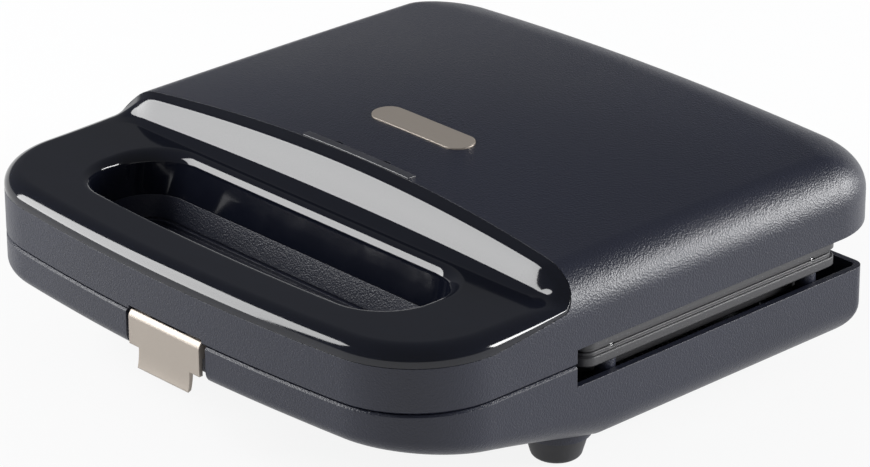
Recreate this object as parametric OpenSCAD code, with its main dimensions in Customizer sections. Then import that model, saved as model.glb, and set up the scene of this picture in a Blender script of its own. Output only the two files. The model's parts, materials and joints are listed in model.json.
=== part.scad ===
// Countertop sandwich toaster: two moulded housings joined by a rear hinge,
// a gloss grip trim, a drop latch and a pair of cast cooking plates.
// X runs to the right, Y to the rear and Z up, with the front handle at -Y.

/* [Housings] */
// Width of both housings
body_w = 230; // [220:1:240]
// Depth of the base from the front of the bow to its rear wall
body_d = 220.5; // [214:0.5:228]
// Height of the parting line above the table
part_z = 43; // [41:0.5:46]
// Free gap between lid and base at the parting line
part_gap = 0.4; // [0.3:0.1:0.8]
// Radius of the bowed front in plan
bow_r = 770; // [600:10:1000]
// Radius of the front corners in plan
corner_r = 37; // [32:1:44]
// Radius of the lid's rear corners in plan
lid_rear_r = 31; // [29:0.5:34]
// Radius of the base's rear corners in plan
base_rear_r = 5; // [4:0.5:9]
// Wall of the moulded housings
wall = 2.6; // [2.2:0.1:3.2]
// Chamfer along the parting edges
edge_c = 0.7; // [0.4:0.1:1.2]

/* [Lid] */
// How far the lid reaches beyond the base's rear wall
lid_over = 17.7; // [17:0.1:19]
// Height of the seam between lid and grip trim, where the side fillet starts
seam_z = 59.4; // [57:0.2:61]
// Height of the lid at the end of its side fillets
lid_side_z = 74.5; // [74:0.1:78]
// Rise of the crown from the sides to the middle of the lid
crown_h = 5.4; // [4:0.1:7]
// Extra rise of the crown halfway from the seam to the rear edge
dome_h = 2.1; // [0:0.1:3]
// Side fillet of the lid
side_fillet = 14.4; // [12:0.1:17]
// Rear fillet of the lid
rear_fillet = 27.6; // [24:0.1:28.4]
// Height of the lid's skirt over the plates
skirt_z = 48.7; // [48.4:0.1:50]
// Front of the open bay beside the plates
bay_y = -39.5; // [-42:0.5:-38]

/* [Grip trim] */
// Height of the flat ring around the grip opening
ring_z = 66; // [64:0.5:68]
// Width of the rounded outer bevel
bevel = 6.7; // [4:0.1:8]
// Radius of the seam across the lid
seam_r = 900; // [700:4:1000]
// Rearmost point of that seam
seam_y = -32.6; // [-34:0.2:-31]
// Foot of the slope behind the ring
foot_y = -48; // [-49:0.5:-46]
// Corner radius of the trim's rear tips
tip_r = 6; // [4:0.5:8]
// Wall of the trim
trim_t = 2; // [1.6:0.1:2.4]
// Gap between trim and lid
seam_gap = 0.15; // [0.1:0.05:0.3]

/* [Grip opening] */
// Half width of the opening at the ring
grip_hw = 84; // [76:1:86]
// Front edge of the opening at the ring
grip_front = -100; // [-102:0.5:-96]
// Rear edge of the opening at the ring
grip_rear = -49.5; // [-52:0.5:-49.5]
// Corner radius of the opening at the ring
grip_r = 24; // [18:1:25]
// Radius of the bow of its front edge
grip_bow = 900; // [700:20:1500]
// Rounding of the opening's edge
grip_round = 4; // [3:0.5:5]
// Height at which the trim's wall ends in the opening
grip_seam_z = 51.3; // [50:0.1:54]
// How far the rear wall leans forward down to the parting line
grip_lean = 7; // [3:0.5:8]

/* [Base] */
// Height of the rim beside the plates
rim_z = 35.3; // [34:0.1:37]
// Height of the underside
under_z = 10; // [8:0.5:12]
// Height of the underside at the front of the bow
chin_z = 29.2; // [28:0.1:32]
// Place where the underside starts to rise to the front
rise_y = -26; // [-30:1:-22]
// Rounding along the lower edge of the sides
lower_r = 11; // [8:0.5:13]
// Depth of the panel in the base under the grip opening
floor_drop = 1.5; // [0.8:0.1:2.5]

/* [Plates] */
// Distance of the plates' side edges from the housings' sides
plate_in = 3; // [3:0.5:8]
// Front edge of the plates
plate_front = -33; // [-36:0.5:-31]
// Distance of the plates' rear edge from the base's rear wall
plate_back = 11.05; // [11.05:0.5:14.05]
// Thickness of the plate's rim
rim_t = 4.8; // [4:0.1:5]
// Depth of the cast dish from the parting face
dish_d = 12.8; // [11:0.2:14]
// Depth of the sandwich pockets
pocket_d = 9.6; // [7:0.2:10]
// Width of the land between pockets
land = 9; // [6:0.5:12]
// Width of the ridge that cuts the sandwich
ridge = 3; // [2:0.5:5]
// Slope of the pocket walls, run for the full depth
pocket_run = 6; // [3:0.5:8]

/* [Heating] */
// Radius of the tubular heating element
tube_r = 3.3; // [2.8:0.1:3.6]
// Distance between the legs of the element
leg_gap = 50; // [40:1:60]
// Height of the heat shield over the plate's back
shield_h = 10.5; // [9:0.5:10.5]

/* [Hinge] */
// Hinge axis, distance behind the base's rear wall
hinge_out = 3; // [2.8:0.1:3.2]
// Hinge axis, height above the parting line
hinge_up = 2; // [1.8:0.1:3]
// Radius of the knuckles
knuckle_r = 3.8; // [3.4:0.1:3.8]
// Radius of the hinge pins
pin_r = 1.8; // [1.4:0.1:2]
// Middle of each hinge, distance from the centre
hinge_x = 68; // [50:1:76]
// Length of the base's knuckle and its bracket
knuckle_l = 12; // [9:0.5:16]
// Thickness of the lid's ears
ear_t = 4.2; // [3:0.2:5]

/* [Latch] */
// Half width of the latch
latch_hw = 18.2; // [16:0.2:19]
// Half width of its finger tab
tab_hw = 13.2; // [10:0.2:15]
// Height of the latch's pivot below the parting line
latch_drop = 2.4; // [2:0.1:3]
// Radius of the latch's barrel
barrel_r = 3; // [2.6:0.1:3.2]
// Thickness of the latch's face
latch_t = 1.5; // [1.2:0.1:1.8]
// Half width of the lug on the lid that carries the latch
lug_hw = 9; // [7:0.5:11]
// Radius of the latch pin
latch_pin_r = 1.2; // [1:0.1:1.3]
// Height of the lower end of the finger tab
tab_z = 24.2; // [22:0.1:25]

/* [Fittings] */
// Half length of the badge plate
badge_hl = 23.6; // [20:0.2:30]
// Width of the badge plate
badge_w = 12; // [9:0.5:14]
// Middle of the badge plate
badge_y = -1; // [-6:0.5:12]
// Half length of the indicator window
lens_hl = 27; // [20:0.5:32]
// Width of the indicator window
lens_w = 3.2; // [2.6:0.1:4]
// Radius of the feet
foot_r = 11; // [9:0.5:12]
// Distance of the front feet's middle from the housing's side
foot_in = 20; // [20:0.5:27]
// Front feet, position from front to rear
foot_front_y = -29; // [-34:0.5:-28]
// Distance of the rear feet's middle from the housing's side
rear_foot_in = 29; // [23:1:45]
// Distance of the rear feet's middle from the base's rear wall
foot_back = 28.05; // [20.05:1:36.05]
// Middle of the cord's bush from the centre
bush_x = 40; // [-46:1:46]
// Radius of the bush's bore
bush_r = 3.4; // [2.8:0.1:3.6]
// How far the bush stands out at the rear
bush_out = 3.2; // [2.4:0.1:3.2]

/* [Hidden] */
$fn = 48;

hw = body_w / 2;
// How far the latch's face and its curled tab stand before the bow.
latch_sweep = 4.05;
tab_curl = 0.8;
latch_out = latch_sweep - 3.55 + tab_curl;
// The frame's origin lies midway between the latch's tab and the lid's rear wall.
front_y = (latch_out - body_d - lid_over) / 2;
rear_y = front_y + body_d;
lid_rear_y = rear_y + lid_over;
plate_w = body_w - 2 * plate_in;
plate_rear = rear_y - plate_back;
foot_x = hw - foot_in;
rear_foot_x = hw - rear_foot_in;
foot_rear_y = rear_y - foot_back;
upper_z = part_z + part_gap / 2;
lower_z = part_z - part_gap / 2;
hinge_y = rear_y + hinge_out;
hinge_z = part_z + hinge_up;
latch_y = front_y + 3.5;
latch_face = latch_y - latch_sweep + 0.05;
latch_z = part_z - latch_drop;
notch_hw = latch_hw + 2.3;
notch_y = latch_y + barrel_r + 0.1;
relief_z = latch_z + latch_sweep + 0.35;
hook_z = latch_z - 7.6;
dome_y = seam_y - 0.4;
screw_x = plate_w / 2 - 3.8;
screw_ys = [plate_front + 13, plate_rear - 13];
// Steps along the front, a corner, a side, a tip and the rear of each outline.
NF = 12;
NC = 7;
NS = 6;
NT = 5;
NR = 12;

function lerp(a, b, t) = a + (b - a) * t;
function clamp01(t) = max(0, min(1, t));
function smooth(t) = t * t * (3 - 2 * t);

// Points on an elliptical arc, without its last point.
function arc(cx, cy, rx, ry, a0, a1, n) =
    [for (i = [0:n - 1]) let (a = lerp(a0, a1, i / n)) [cx + rx * cos(a), cy + ry * sin(a)]];
// Points on a straight line, without its last point.
function run(p, q, n) = [for (i = [0:n - 1]) lerp(p, q, i / n)];
function mirrored(pts) = [for (p = pts) [-p[0], p[1]]];

// Middle of the front corner's arc, for a bow that ends tangent to it.
function corner_c(w, fy, bow, cr) =
    [w - cr, fy + bow - sqrt(pow(bow - cr, 2) - pow(w - cr, 2))];

// Outline of a housing seen from above, moved in by dx at the sides,
// df at the front and dr at the rear. The rear wall lies at ry.
function outline(rr, dx, df, dr, ry = rear_y) = let (
        c = corner_c(hw, front_y, bow_r, corner_r),
        a = asin(c[0] / (bow_r - corner_r)),
        side = hw - dx,
        back = ry - rr)
    concat(
        arc(0, front_y + bow_r, bow_r - df, bow_r - df, 270 - a, 270 + a, NF),
        arc(c[0], c[1], corner_r - dx, corner_r - df, 270 + a, 360, NC),
        run([side, c[1]], [side, back], NS),
        arc(hw - rr, back, rr - dx, rr - dr, 0, 90, NC),
        run([hw - rr, ry - dr], [rr - hw, ry - dr], NS),
        arc(rr - hw, back, rr - dx, rr - dr, 90, 180, NC),
        run([-side, back], [-side, c[1]], NS),
        arc(-c[0], c[1], corner_r - dx, corner_r - df, 180, 270 - a, NC));

// Height of the lid's crowned top over the plan.
function crown(x, y) = let (v = (2 * y - seam_y - lid_rear_y + 15) / (lid_rear_y - 15 - seam_y))
    lid_side_z + max(0, crown_h + dome_h * (1 - v * v)) * max(0, 1 - pow(x / hw, 2));
// Height of the lid's skin where the side fillet rolls over.
function lid_z(x, y) = let (u = clamp01((abs(x) - hw + side_fillet) / side_fillet))
    seam_z + (crown(x, y) - seam_z) * sqrt(1 - u * u);

// Height of the base's underside along the depth.
function forward(y) = clamp01((rise_y - y) / (rise_y - front_y - 4));
function under(y) = let (s = forward(y))
    under_z + (chin_z - under_z) * (1 - pow(1 - s, 1.3));
function lower_round(y) = lerp(lower_r, 4.5, forward(y));

// A closed solid through rings of points, from the lowest ring to the highest.
module loft(rings) {
    n = len(rings[0]);
    m = len(rings);
    function mid(r) = [for (k = [0:2]) (min([for (p = r) p[k]]) + max([for (p = r) p[k]])) / 2];
    pts = concat([for (r = rings) each r], [mid(rings[0]), mid(rings[m - 1])]);
    sides = [for (k = [0:m - 2], i = [0:n - 1]) let (j = (i + 1) % n)
        each [[k * n + i, (k + 1) * n + i, (k + 1) * n + j],
            [k * n + i, (k + 1) * n + j, k * n + j]]];
    caps = [for (i = [0:n - 1]) let (j = (i + 1) % n)
        each [[n * m, i, j], [n * m + 1, (m - 1) * n + j, (m - 1) * n + i]]];
    polyhedron(concat(pts), concat(sides, caps), convexity = 8);
}

// A closed ring: each section is a loop of points, and the sections close on themselves.
module ring_loft(sections) {
    n = len(sections[0]);
    m = len(sections);
    pts = [for (s = sections) each s];
    faces = [for (k = [0:m - 1], i = [0:n - 1]) let (j = (i + 1) % n, l = (k + 1) % m)
        each [[k * n + i, l * n + j, l * n + i], [k * n + i, k * n + j, l * n + j]]];
    polyhedron(pts, faces, convexity = 8);
}

function at_z(pts, z) = [for (p = pts) [p[0], p[1], z]];

// Full skin of the lid from the parting line to the crown, with rings drawn in by k.
function lid_rings(t, zs, rr) = let (
        side_r = side_fillet - t,
        back_r = rear_fillet - t)
    concat(
        [for (z = zs) at_z(outline(rr, t + z[1], t + z[1], t + z[1], lid_rear_y), z[0])],
        [for (a = [15:15:90]) [for (p = outline(rr, t + side_r * (1 - cos(a)),
                t + side_r * (1 - cos(a)), t + back_r * (1 - cos(a)), lid_rear_y))
            [p[0], p[1], seam_z + (crown(p[0], p[1]) - t - seam_z) * sin(a)]]],
        [for (k = [0.8, 0.55, 0.3, 0.1]) [for (p = outline(rr, t + side_r, t + side_r,
                t + back_r, lid_rear_y)) let (x = p[0] * k, y = 12 + (p[1] - 12) * k)
            [x, y, crown(x, y) - t]]]);

// Outline of the grip trim, moved outwards by g. Each entry is x, y, the height of the
// seam there, and how far the section has turned from bevel to slope.
function trim_edge(g) = let (
        c = corner_c(hw, front_y, bow_r, corner_r),
        a = asin(c[0] / (bow_r - corner_r)),
        tuck = 0.4,
        tx = hw - tuck - tip_r,
        sc = seam_y - seam_r,
        ty = sc + sqrt(pow(seam_r - tip_r, 2) - tx * tx),
        ta = 90 - asin(tx / (seam_r - tip_r)),
        sweep = asin((tx + (tip_r + g) * cos(ta)) / (seam_r + g)),
        front = [for (p = arc(0, front_y + bow_r, bow_r + g, bow_r + g, 270 - a, 270 + a, NF))
            [p[0], p[1], seam_z, 0]],
        corner = [for (p = arc(c[0], c[1], corner_r + g, corner_r + g, 270 + a, 360, NC))
            [p[0], p[1], seam_z, 0]],
        side = [for (i = [0:NT - 1]) let (y = lerp(c[1], ty, i / NT),
                in = tuck * pow(i / NT, 2.2))
            [hw - in + g, y, lid_z(hw - in, y), 0]],
        tip = [for (i = [0:NT - 1]) let (b = ta * i / NT, x = tx + tip_r * cos(b),
                y = ty + tip_r * sin(b))
            [tx + (tip_r + g) * cos(b), ty + (tip_r + g) * sin(b), lid_z(x, y), smooth(i / NT)]],
        seam = [for (i = [0:NR - 1]) let (b = lerp(90 - sweep, 90 + sweep, i / NR),
                x = seam_r * cos(b), y = sc + seam_r * sin(b))
            [(seam_r + g) * cos(b), sc + (seam_r + g) * sin(b), lid_z(x, y), 1]],
        right = concat(corner, side, tip))
    concat(front, right, seam,
        [for (i = [len(right):-1:1]) let (q = i == len(right) ? seam[0] : right[i])
            [-q[0], q[1], q[2], q[3]]]);

// A rounded rectangle with a bowed front, point for point with the trim's outline.
function grip_line(w, fy, bow, cr, back, rr) = let (
        c = corner_c(w, fy, bow, cr),
        a = asin(c[0] / (bow - cr)),
        right = concat(
            arc(c[0], c[1], cr, cr, 270 + a, 360, NC),
            run([w, c[1]], [w, back - rr], NT),
            arc(w - rr, back - rr, rr, rr, 0, 90, NT)))
    concat(
        arc(0, fy + bow, bow, bow, 270 - a, 270 + a, NF),
        right,
        run([w - rr, back], [rr - w, back], NR),
        [for (i = [len(right):-1:1]) let (q = i == len(right) ? [w - rr, back] : right[i])
            [-q[0], q[1]]]);

// The grip opening at a height, widened by g. It narrows as it goes down.
function grip(z, g) = let (
        u = clamp01((ring_z - grip_round - z) / (ring_z - grip_round - upper_z)),
        w = grip_hw - grip_round - 2.5 * u + g,
        f = grip_front + grip_round + u - g,
        b = grip_rear - grip_round - grip_lean * u + g,
        r = grip_r - grip_round - 2 * u + g)
    grip_line(w, f, grip_bow, r, b, min(r, b - corner_c(w, f, grip_bow, r)[1] - 2));
// The same opening carried on downwards, past the parting line.
function grip_low(z) = let (a = grip(upper_z, 0), b = grip(grip_seam_z, 0),
        t = (z - upper_z) / (grip_seam_z - upper_z))
    [for (i = [0:len(a) - 1]) [lerp(a[i][0], b[i][0], t), lerp(a[i][1], b[i][1], t), z]];
// Edge of the flat ring: bevel inside the outline and the slope's foot at the rear.
function ring_edge() = let (
        c = corner_c(hw, front_y, bow_r, corner_r))
    grip_line(hw - bevel, front_y + bevel, bow_r - bevel, corner_r - bevel, foot_y, 10);

// Share of the drop from outline to ring edge, for the bevel (m = 0) and slope (m = 1).
function skin(w, m) = lerp(sqrt(1 - pow(1 - w, 2)), smooth(min(1, w / 0.58)), m);
function xy(a, b, t) = [lerp(a[0], b[0], t), lerp(a[1], b[1], t)];
function up(p, z) = [p[0], p[1], z];

// One closed section of the grip trim, from its outer lower edge over the top,
// down into the opening and back along the underside.
function trim_section(d, di, e, o1, o2, o3, o3w, o2w) = let (
        m = d[3],
        z0 = d[2] + 1 - m,
        w = [for (j = [0:6]) lerp(1 - cos(15 * j), [0, 0.1, 0.2, 0.3, 0.42, 0.58, 1][j], m)])
    concat(
        [up(d, d[2] + 0.1 - 2.1 * m)],
        [for (t = w) up(xy(d, e, t), lerp(z0, ring_z, skin(t, m)))],
        [up(o1, ring_z)],
        [for (b = [30, 60, 90]) up(xy(o1, o2, sin(b)), ring_z - grip_round * (1 - cos(b)))],
        [up(o3, grip_seam_z), up(o3w, grip_seam_z), up(o2w, ring_z - grip_round - 0.5)],
        [up(xy(e, o1, 0.35), ring_z - trim_t)],
        [for (t = [0.62, 0.36]) up(xy(d, e, t), lerp(z0, ring_z, skin(t, m)) - trim_t - 0.3)],
        [up(di, d[2] + 0.1 - 3.3 * m)]);

module handle_trim() {
    d = trim_edge(0);
    di = trim_edge(0.2 - trim_t);
    e = ring_edge();
    o1 = grip_line(grip_hw, grip_front, grip_bow, grip_r, grip_rear, grip_r - 5);
    zr = ring_z - grip_round;
    o2 = grip(zr, 0);
    o3 = grip(grip_seam_z, 0);
    o3w = grip(grip_seam_z, trim_t);
    o2w = grip(zr, trim_t);
    color("#17191f") ring_loft([for (i = [0:len(d) - 1])
        trim_section(d[i], di[i], e[i], o1[i], o2[i], o3[i], o3w[i], o2w[i])]);
}

// Space over the lid's front deck that the grip trim fills.
module trim_seat() {
    near = trim_edge(seam_gap);
    far = trim_edge(1);
    inner = trim_edge(0.2 - wall);
    d = trim_edge(0);
    n = len(d) - 1;
    flat_seat = [for (i = [0:n]) d[i][2] < seam_z + 0.001];
    cut = [for (i = [0:n]) d[i][3] > 0 ? near[i]
        : flat_seat[i] && flat_seat[(i + 1) % (n + 1)] ? (far[i] + far[(i + 1) % (n + 1)]) / 2 : far[i]];
    seat = [for (i = [0:n]) d[i][2] - 0.1 - 3.3 * d[i][3]];
    loft([
        at_z(inner, grip_seam_z - 0.1),
        [for (i = [0:n]) up(inner[i], seat[i] - 3.4 * d[i][3])],
        [for (i = [0:n]) up(cut[i], seat[i])],
        at_z(cut, 110)]);
}

module both() {
    children();
    mirror([1, 0, 0]) children();
}
// A cylinder along X from x0 to x1.
module bar(r, x0, x1, y, z) translate([x0, y, z]) rotate([0, 90, 0]) cylinder(r = r, h = x1 - x0);

// A flat slab that lies on the crown at depth y, for the badge and its recess.
module badge_slab(g, z0, z1) {
    tilt = atan((crown(0, badge_y + 1) - crown(0, badge_y - 1)) / 2);
    translate([0, badge_y, crown(0, badge_y)]) rotate([tilt, 0, 0])
        translate([0, 0, z0]) linear_extrude(z1 - z0) {
            for (s = [-1, 1]) translate([s * (badge_hl - badge_w / 2), 0]) circle(badge_w / 2 + g);
            square([2 * badge_hl - badge_w, badge_w + 2 * g], center = true);
        }
}

// The indicator window follows the seam. It is a band of the seam's own arc.
module lens_band(g, z0, z1) {
    sc = seam_y - seam_r;
    a = asin((lens_hl + g) / seam_r);
    r0 = seam_r + seam_gap - (g > 0 ? 1 : 0);
    r1 = seam_r + seam_gap + lens_w + g;
    translate([0, 0, z0]) linear_extrude(z1 - z0) polygon(concat(
        [for (i = [0:16]) let (b = 90 - a + a * i / 8) [r0 * cos(b), sc + r0 * sin(b)]],
        [for (i = [16:-1:0]) let (b = 90 - a + a * i / 8) [r1 * cos(b), sc + r1 * sin(b)]]));
}
lens_top = crown(0, seam_y) + 0.3;
lamp_y = seam_y + seam_gap + lens_w / 2 + 0.4;

// Hollow of the lid over the plates, with the bosses and hinge ears left standing.
module lid_hollow() {
    difference() {
        intersection() {
            loft(lid_rings(wall, [[part_z - 3, 0], [seam_z, 0]], lid_rear_r));
            translate([-hw, dome_y, 0]) cube([body_w, body_d + lid_over, 120]);
        }
        both() for (y = screw_ys) translate([screw_x, y, upper_z + rim_t])
            cylinder(r = 3.6, h = 40);
        // Ears before the rear wall, on both sides of the base's knuckles.
        both() for (x = [-1, 1])
            translate([hinge_x + x * (knuckle_l / 2 + 0.3 + ear_t / 2) - ear_t / 2,
                    hinge_y - knuckle_r, hinge_z])
                cube([ear_t, 40, 17]);
        // Pads that stiffen the roof over the heat shield.
        for (y = [-3, 57]) translate([-86, y, 72.6]) cube([172, 2, 20]);
    }
}

module upper_shell() {
    color("#34363d") difference() {
        union() {
            difference() {
                loft(lid_rings(0, [[upper_z - 2, edge_c + 2], [upper_z + edge_c, 0], [seam_z, 0]],
                    lid_rear_r));
                translate([-200, -200, 0]) cube([400, 400, upper_z]);
                trim_seat();
                lid_hollow();
                // Free bay over the plates.
                translate([-200, bay_y, 0]) cube([400, 300, skirt_z]);
                // Grip opening.
                loft([grip_low(upper_z - 6), at_z(grip(grip_seam_z, 0), grip_seam_z)]);
                // Hollow around the opening, inside the front wall.
                translate([0, 0, upper_z + wall]) linear_extrude(grip_seam_z - upper_z - wall + 0.1)
                    difference() {
                        polygon(outline(lid_rear_r, wall, wall, wall, lid_rear_y));
                        polygon(grip(grip_seam_z, wall));
                        translate([-200, bay_y - wall]) square([400, 300]);
                        translate([-lug_hw - 3, front_y - 1]) square([2 * lug_hw + 6, 12]);
                    }
                // Relief in which the latch turns.
                translate([-latch_hw - 0.6, front_y - 5, 0])
                    cube([2 * latch_hw + 1.2, notch_y - front_y + 5, relief_z]);
                badge_slab(0.15, -0.5, 5);
                lens_band(0.1, lens_top - 1.6, 100);
                both() translate([12, lamp_y, 60]) cylinder(r = 2.5, h = 30);
            }
            // Lug that carries the latch.
            bar(2.2, -lug_hw, lug_hw, latch_y, latch_z);
            translate([-lug_hw, latch_y + 0.6, latch_z])
                cube([2 * lug_hw, 2.2, relief_z + 0.4 - latch_z]);
            // Round ends of the hinge ears.
            both() for (x = [-1, 1]) {
                x0 = hinge_x + x * (knuckle_l / 2 + 0.3 + ear_t / 2) - ear_t / 2;
                bar(knuckle_r, x0, x0 + ear_t, hinge_y, hinge_z);
                translate([x0, hinge_y - knuckle_r, hinge_z])
                    cube([ear_t, 2 * knuckle_r, skirt_z + 1 - hinge_z]);
            }
        }
        bar(latch_pin_r + 0.05, -30, 30, latch_y, latch_z);
        both() bar(pin_r + 0.06, hinge_x - 20, hinge_x + 20, hinge_y, hinge_z);
        both() for (y = screw_ys) translate([screw_x, y, upper_z]) cylinder(r = 1.3, h = rim_t + 10);
    }
}

module nameplate() color("#b9b0a6") badge_slab(0, -0.5, 0.25);

module indicator_lens() color("#23252b") intersection() {
    lens_band(0, lens_top - 1.6, 100);
    translate([0, seam_y, lens_top]) rotate([2.5, 0, 0])
        translate([-50, -10, -10]) cube([100, 20, 10]);
}

module lamp(side) {
    translate([12 * side, lamp_y, lens_top - 2]) mirror([0, 0, 1]) {
        translate([0, 0, 2.2]) cylinder(r = 2.2, h = 7);
        intersection() {
            translate([0, 0, 2.2]) sphere(2.2);
            translate([-3, -3, 0]) cube([6, 6, 2.2]);
        }
    }
}
module power_lamp() color("#b83a2c") lamp(-1);
module ready_lamp() color("#4f9a4a") lamp(1);

module lamp_holder() color("#d8d4c8") {
    z = lens_top - 11.2;
    difference() {
        translate([-20, dome_y + 0.05, z - 4]) cube([40, 7, 8]);
        both() translate([12, lamp_y, z]) cylinder(r = 2.25, h = 10);
        both() translate([12, lamp_y, z - 8]) cylinder(r = 1.2, h = 10);
    }
}

// The plates, the elements and the shields are drawn with the cooking face at Z = 0 and
// the back upwards. The lid has them as drawn and the base has them turned over.
module in_lid() translate([0, 0, upper_z]) children();
module in_base() translate([0, 0, lower_z]) mirror([0, 0, 1]) children();

mid_y = (plate_front + plate_rear) / 2;
dish_x = plate_w / 2 - 8;
dish_y = (plate_rear - plate_front) / 2 - 7;

module round_rect(x, y, r) {
    difference() {
        square([2 * x, 2 * y], center = true);
        for (s = [-1, 1], t = [-1, 1]) translate([s * x, t * y]) square(2 * r, center = true);
    }
    for (s = [-1, 1], t = [-1, 1]) translate([s * (x - r), t * (y - r)]) circle(r);
}

// Triangular pocket with sloping walls, sharp at the face and smaller at the bottom.
module pocket(p) {
    c = (p[0] + p[1] + p[2]) / 3;
    function drawn(k) = [for (q = p) c + (q - c) * k];
    run_k = 1 - pocket_run / 26;
    hull() {
        translate([0, 0, -0.01]) linear_extrude(0.01) polygon(drawn(1));
        for (q = drawn(run_k)) translate([q[0], q[1], pocket_d - 3]) sphere(3, $fn = 16);
    }
}

module plate() {
    px = (dish_x - 4) / 2;
    py = dish_y - 3;
    difference() {
        union() {
            translate([0, mid_y, 1.2]) linear_extrude(rim_t - 1.2)
                round_rect(plate_w / 2, (plate_rear - plate_front) / 2, 5);
            translate([0, mid_y, 0]) linear_extrude(1.2)
                round_rect(plate_w / 2 - 1, (plate_rear - plate_front) / 2 - 1, 4.5);
            translate([0, mid_y, rim_t]) linear_extrude(dish_d - rim_t)
                round_rect(dish_x, dish_y, 10);
        }
        for (s = [-1, 1]) translate([s * (px + land / 2), mid_y]) {
            a = px - 1;
            r = ridge / 2 * 1.41;
            pocket([[-a, -py + r * 1.4], [-a, py], [a - r * 1.4, py]]);
            pocket([[a, py - r * 1.4], [a, -py], [-a + r * 1.4, -py]]);
        }
        both() for (y = screw_ys) {
            translate([screw_x, y, -1]) cylinder(r = 1.7, h = rim_t + 2);
            translate([screw_x, y, -0.01]) cylinder(r1 = 3.1, r2 = 1.7, h = 1.9);
        }
    }
}
module upper_plate() color("#3a3b3e") in_lid() plate();
module lower_plate() color("#3a3b3e") in_base() plate();

module plate_screws() {
    both() for (y = screw_ys) translate([screw_x, y, 0.15]) difference() {
        union() {
            cylinder(r1 = 2.8, r2 = 1.25, h = 1.6);
            cylinder(r = 1.25, h = rim_t + 8);
        }
        for (a = [0, 90]) rotate(a) translate([-1.5, -0.3, -1]) cube([3, 0.6, 1.6]);
    }
}
module upper_plate_screws() color("#9a9ca0") in_lid() plate_screws();
module lower_plate_screws() color("#9a9ca0") in_base() plate_screws();

leg_y = [mid_y - leg_gap / 2, mid_y + leg_gap / 2];
module heater() {
    z = dish_d + tube_r;
    x1 = dish_x - 20 - leg_gap / 2;
    for (y = leg_y) bar(tube_r, -x1 - 22, x1, y, z);
    translate([x1, mid_y, z]) rotate([0, 0, -90]) rotate_extrude(angle = 180)
        translate([leg_gap / 2, 0]) circle(tube_r);
    // Cold ends with their terminals.
    for (y = leg_y) {
        bar(1.6, -x1 - 30, -x1 - 22, y, z);
        translate([-x1 - 37, y - 3.1, z - 0.4]) cube([7.5, 6.2, 0.8]);
    }
}
module upper_heater() color("#6d6a66") in_lid() heater();
module lower_heater() color("#6d6a66") in_base() heater();

// Bridge clamps that press the element's legs to the plate's back.
module heater_clamps() {
    for (x = [-38, 38]) for (y = leg_y) translate([x - 5, y, dish_d]) difference() {
        union() {
            rotate([90, 0, 90]) linear_extrude(10) difference() {
                union() {
                    translate([0, tube_r]) circle(tube_r + 1.1);
                    translate([-tube_r - 1.1, 0]) square([2 * tube_r + 2.2, tube_r]);
                }
                translate([0, tube_r]) circle(tube_r + 0.1);
                translate([-tube_r - 0.1, -1]) square([2 * tube_r + 0.2, tube_r + 1]);
                translate([-20, -20]) square([40, 20]);
            }
            for (s = [-1, 1]) translate([0, s * (tube_r + 1) - (s < 0 ? 8 : 0), 0])
                cube([10, 8, 1]);
            for (s = [-1, 1]) translate([5, s * (tube_r + 5.4), 1]) cylinder(r = 2.4, h = 1.8);
        }
        for (s = [-1, 1]) translate([5 - 2, s * (tube_r + 5.4) - 0.35, 2.2]) cube([4, 0.7, 1]);
    }
}
module upper_heater_clamps() color("#a9a6a0") in_lid() heater_clamps();
module lower_heater_clamps() color("#a9a6a0") in_base() heater_clamps();

// Pressed sheet between the element and the housing, on four folded feet.
module heat_shield() {
    z = dish_d + shield_h;
    sx = dish_x - 6;
    sy = dish_y - 6;
    difference() {
        union() {
            translate([0, mid_y, z]) linear_extrude(0.8) round_rect(sx, sy, 8);
            both() for (t = [-1, 1]) translate([sx - 22, mid_y + t * (sy - 0.4) - 0.4, dish_d])
                cube([12, 0.8, shield_h + 0.4]);
            both() for (t = [-1, 1])
                translate([sx - 22, mid_y + t * (sy - 3.4) - 3.4, dish_d]) cube([12, 6.8, 0.8]);
            // Stiffening beads.
            for (y = [-1, 1]) translate([0, mid_y + y * sy * 0.55, z + 0.8])
                intersection() {
                    bar(2.4, -sx + 20, sx - 20, 0, -1);
                    translate([-200, -10, 0]) cube([400, 20, 5]);
                }
        }
        for (x = [-60:30:60]) translate([x, mid_y, z - 2]) cylinder(r = 4, h = 6);
    }
}
module upper_heat_shield() color("#c3c4c6") in_lid() heat_shield();
module lower_heat_shield() color("#c3c4c6") in_base() heat_shield();

module thermostat() color("#cfc8b8") in_base() {
    translate([-15, mid_y, dish_d]) {
        cylinder(r = 8, h = 4.6);
        translate([0, 0, 4.6]) cylinder(r = 6.6, h = 3.4);
        for (s = [-1, 1]) translate([-2.5, s * 9.5 - 5, 0]) cube([5, 10, 0.8]);
        for (s = [-1, 1]) translate([s * 4 - 0.4, -3, 8]) cube([0.8, 6, 1.6]);
    }
}

module thermal_fuse() color("#b7a88a") in_base() {
    y = mid_y - dish_y + 7;
    bar(1.8, -14, 14, y, dish_d + 1.8);
    bar(0.5, -26, -14, y, dish_d + 1.8);
    bar(0.5, 14, 26, y, dish_d + 1.8);
}

// Floor of the base's hollow under the plates.
floor_z = under_z + wall + 0.4;
block_x = bush_x > 0 ? bush_x - 36 : bush_x + 36;
module terminal_block() color("#e6e2d6") translate([block_x, plate_rear + 0.5, floor_z])
    difference() {
        translate([-13, -5, 0]) cube([26, 9, 11]);
        for (x = [-8, 0, 8]) translate([x, -0.5, 4]) cylinder(r = 2, h = 10);
        for (x = [-8, 0, 8]) translate([x, -8, 4.5]) rotate([-90, 0, 0]) cylinder(r = 1.6, h = 20);
    }

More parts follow.
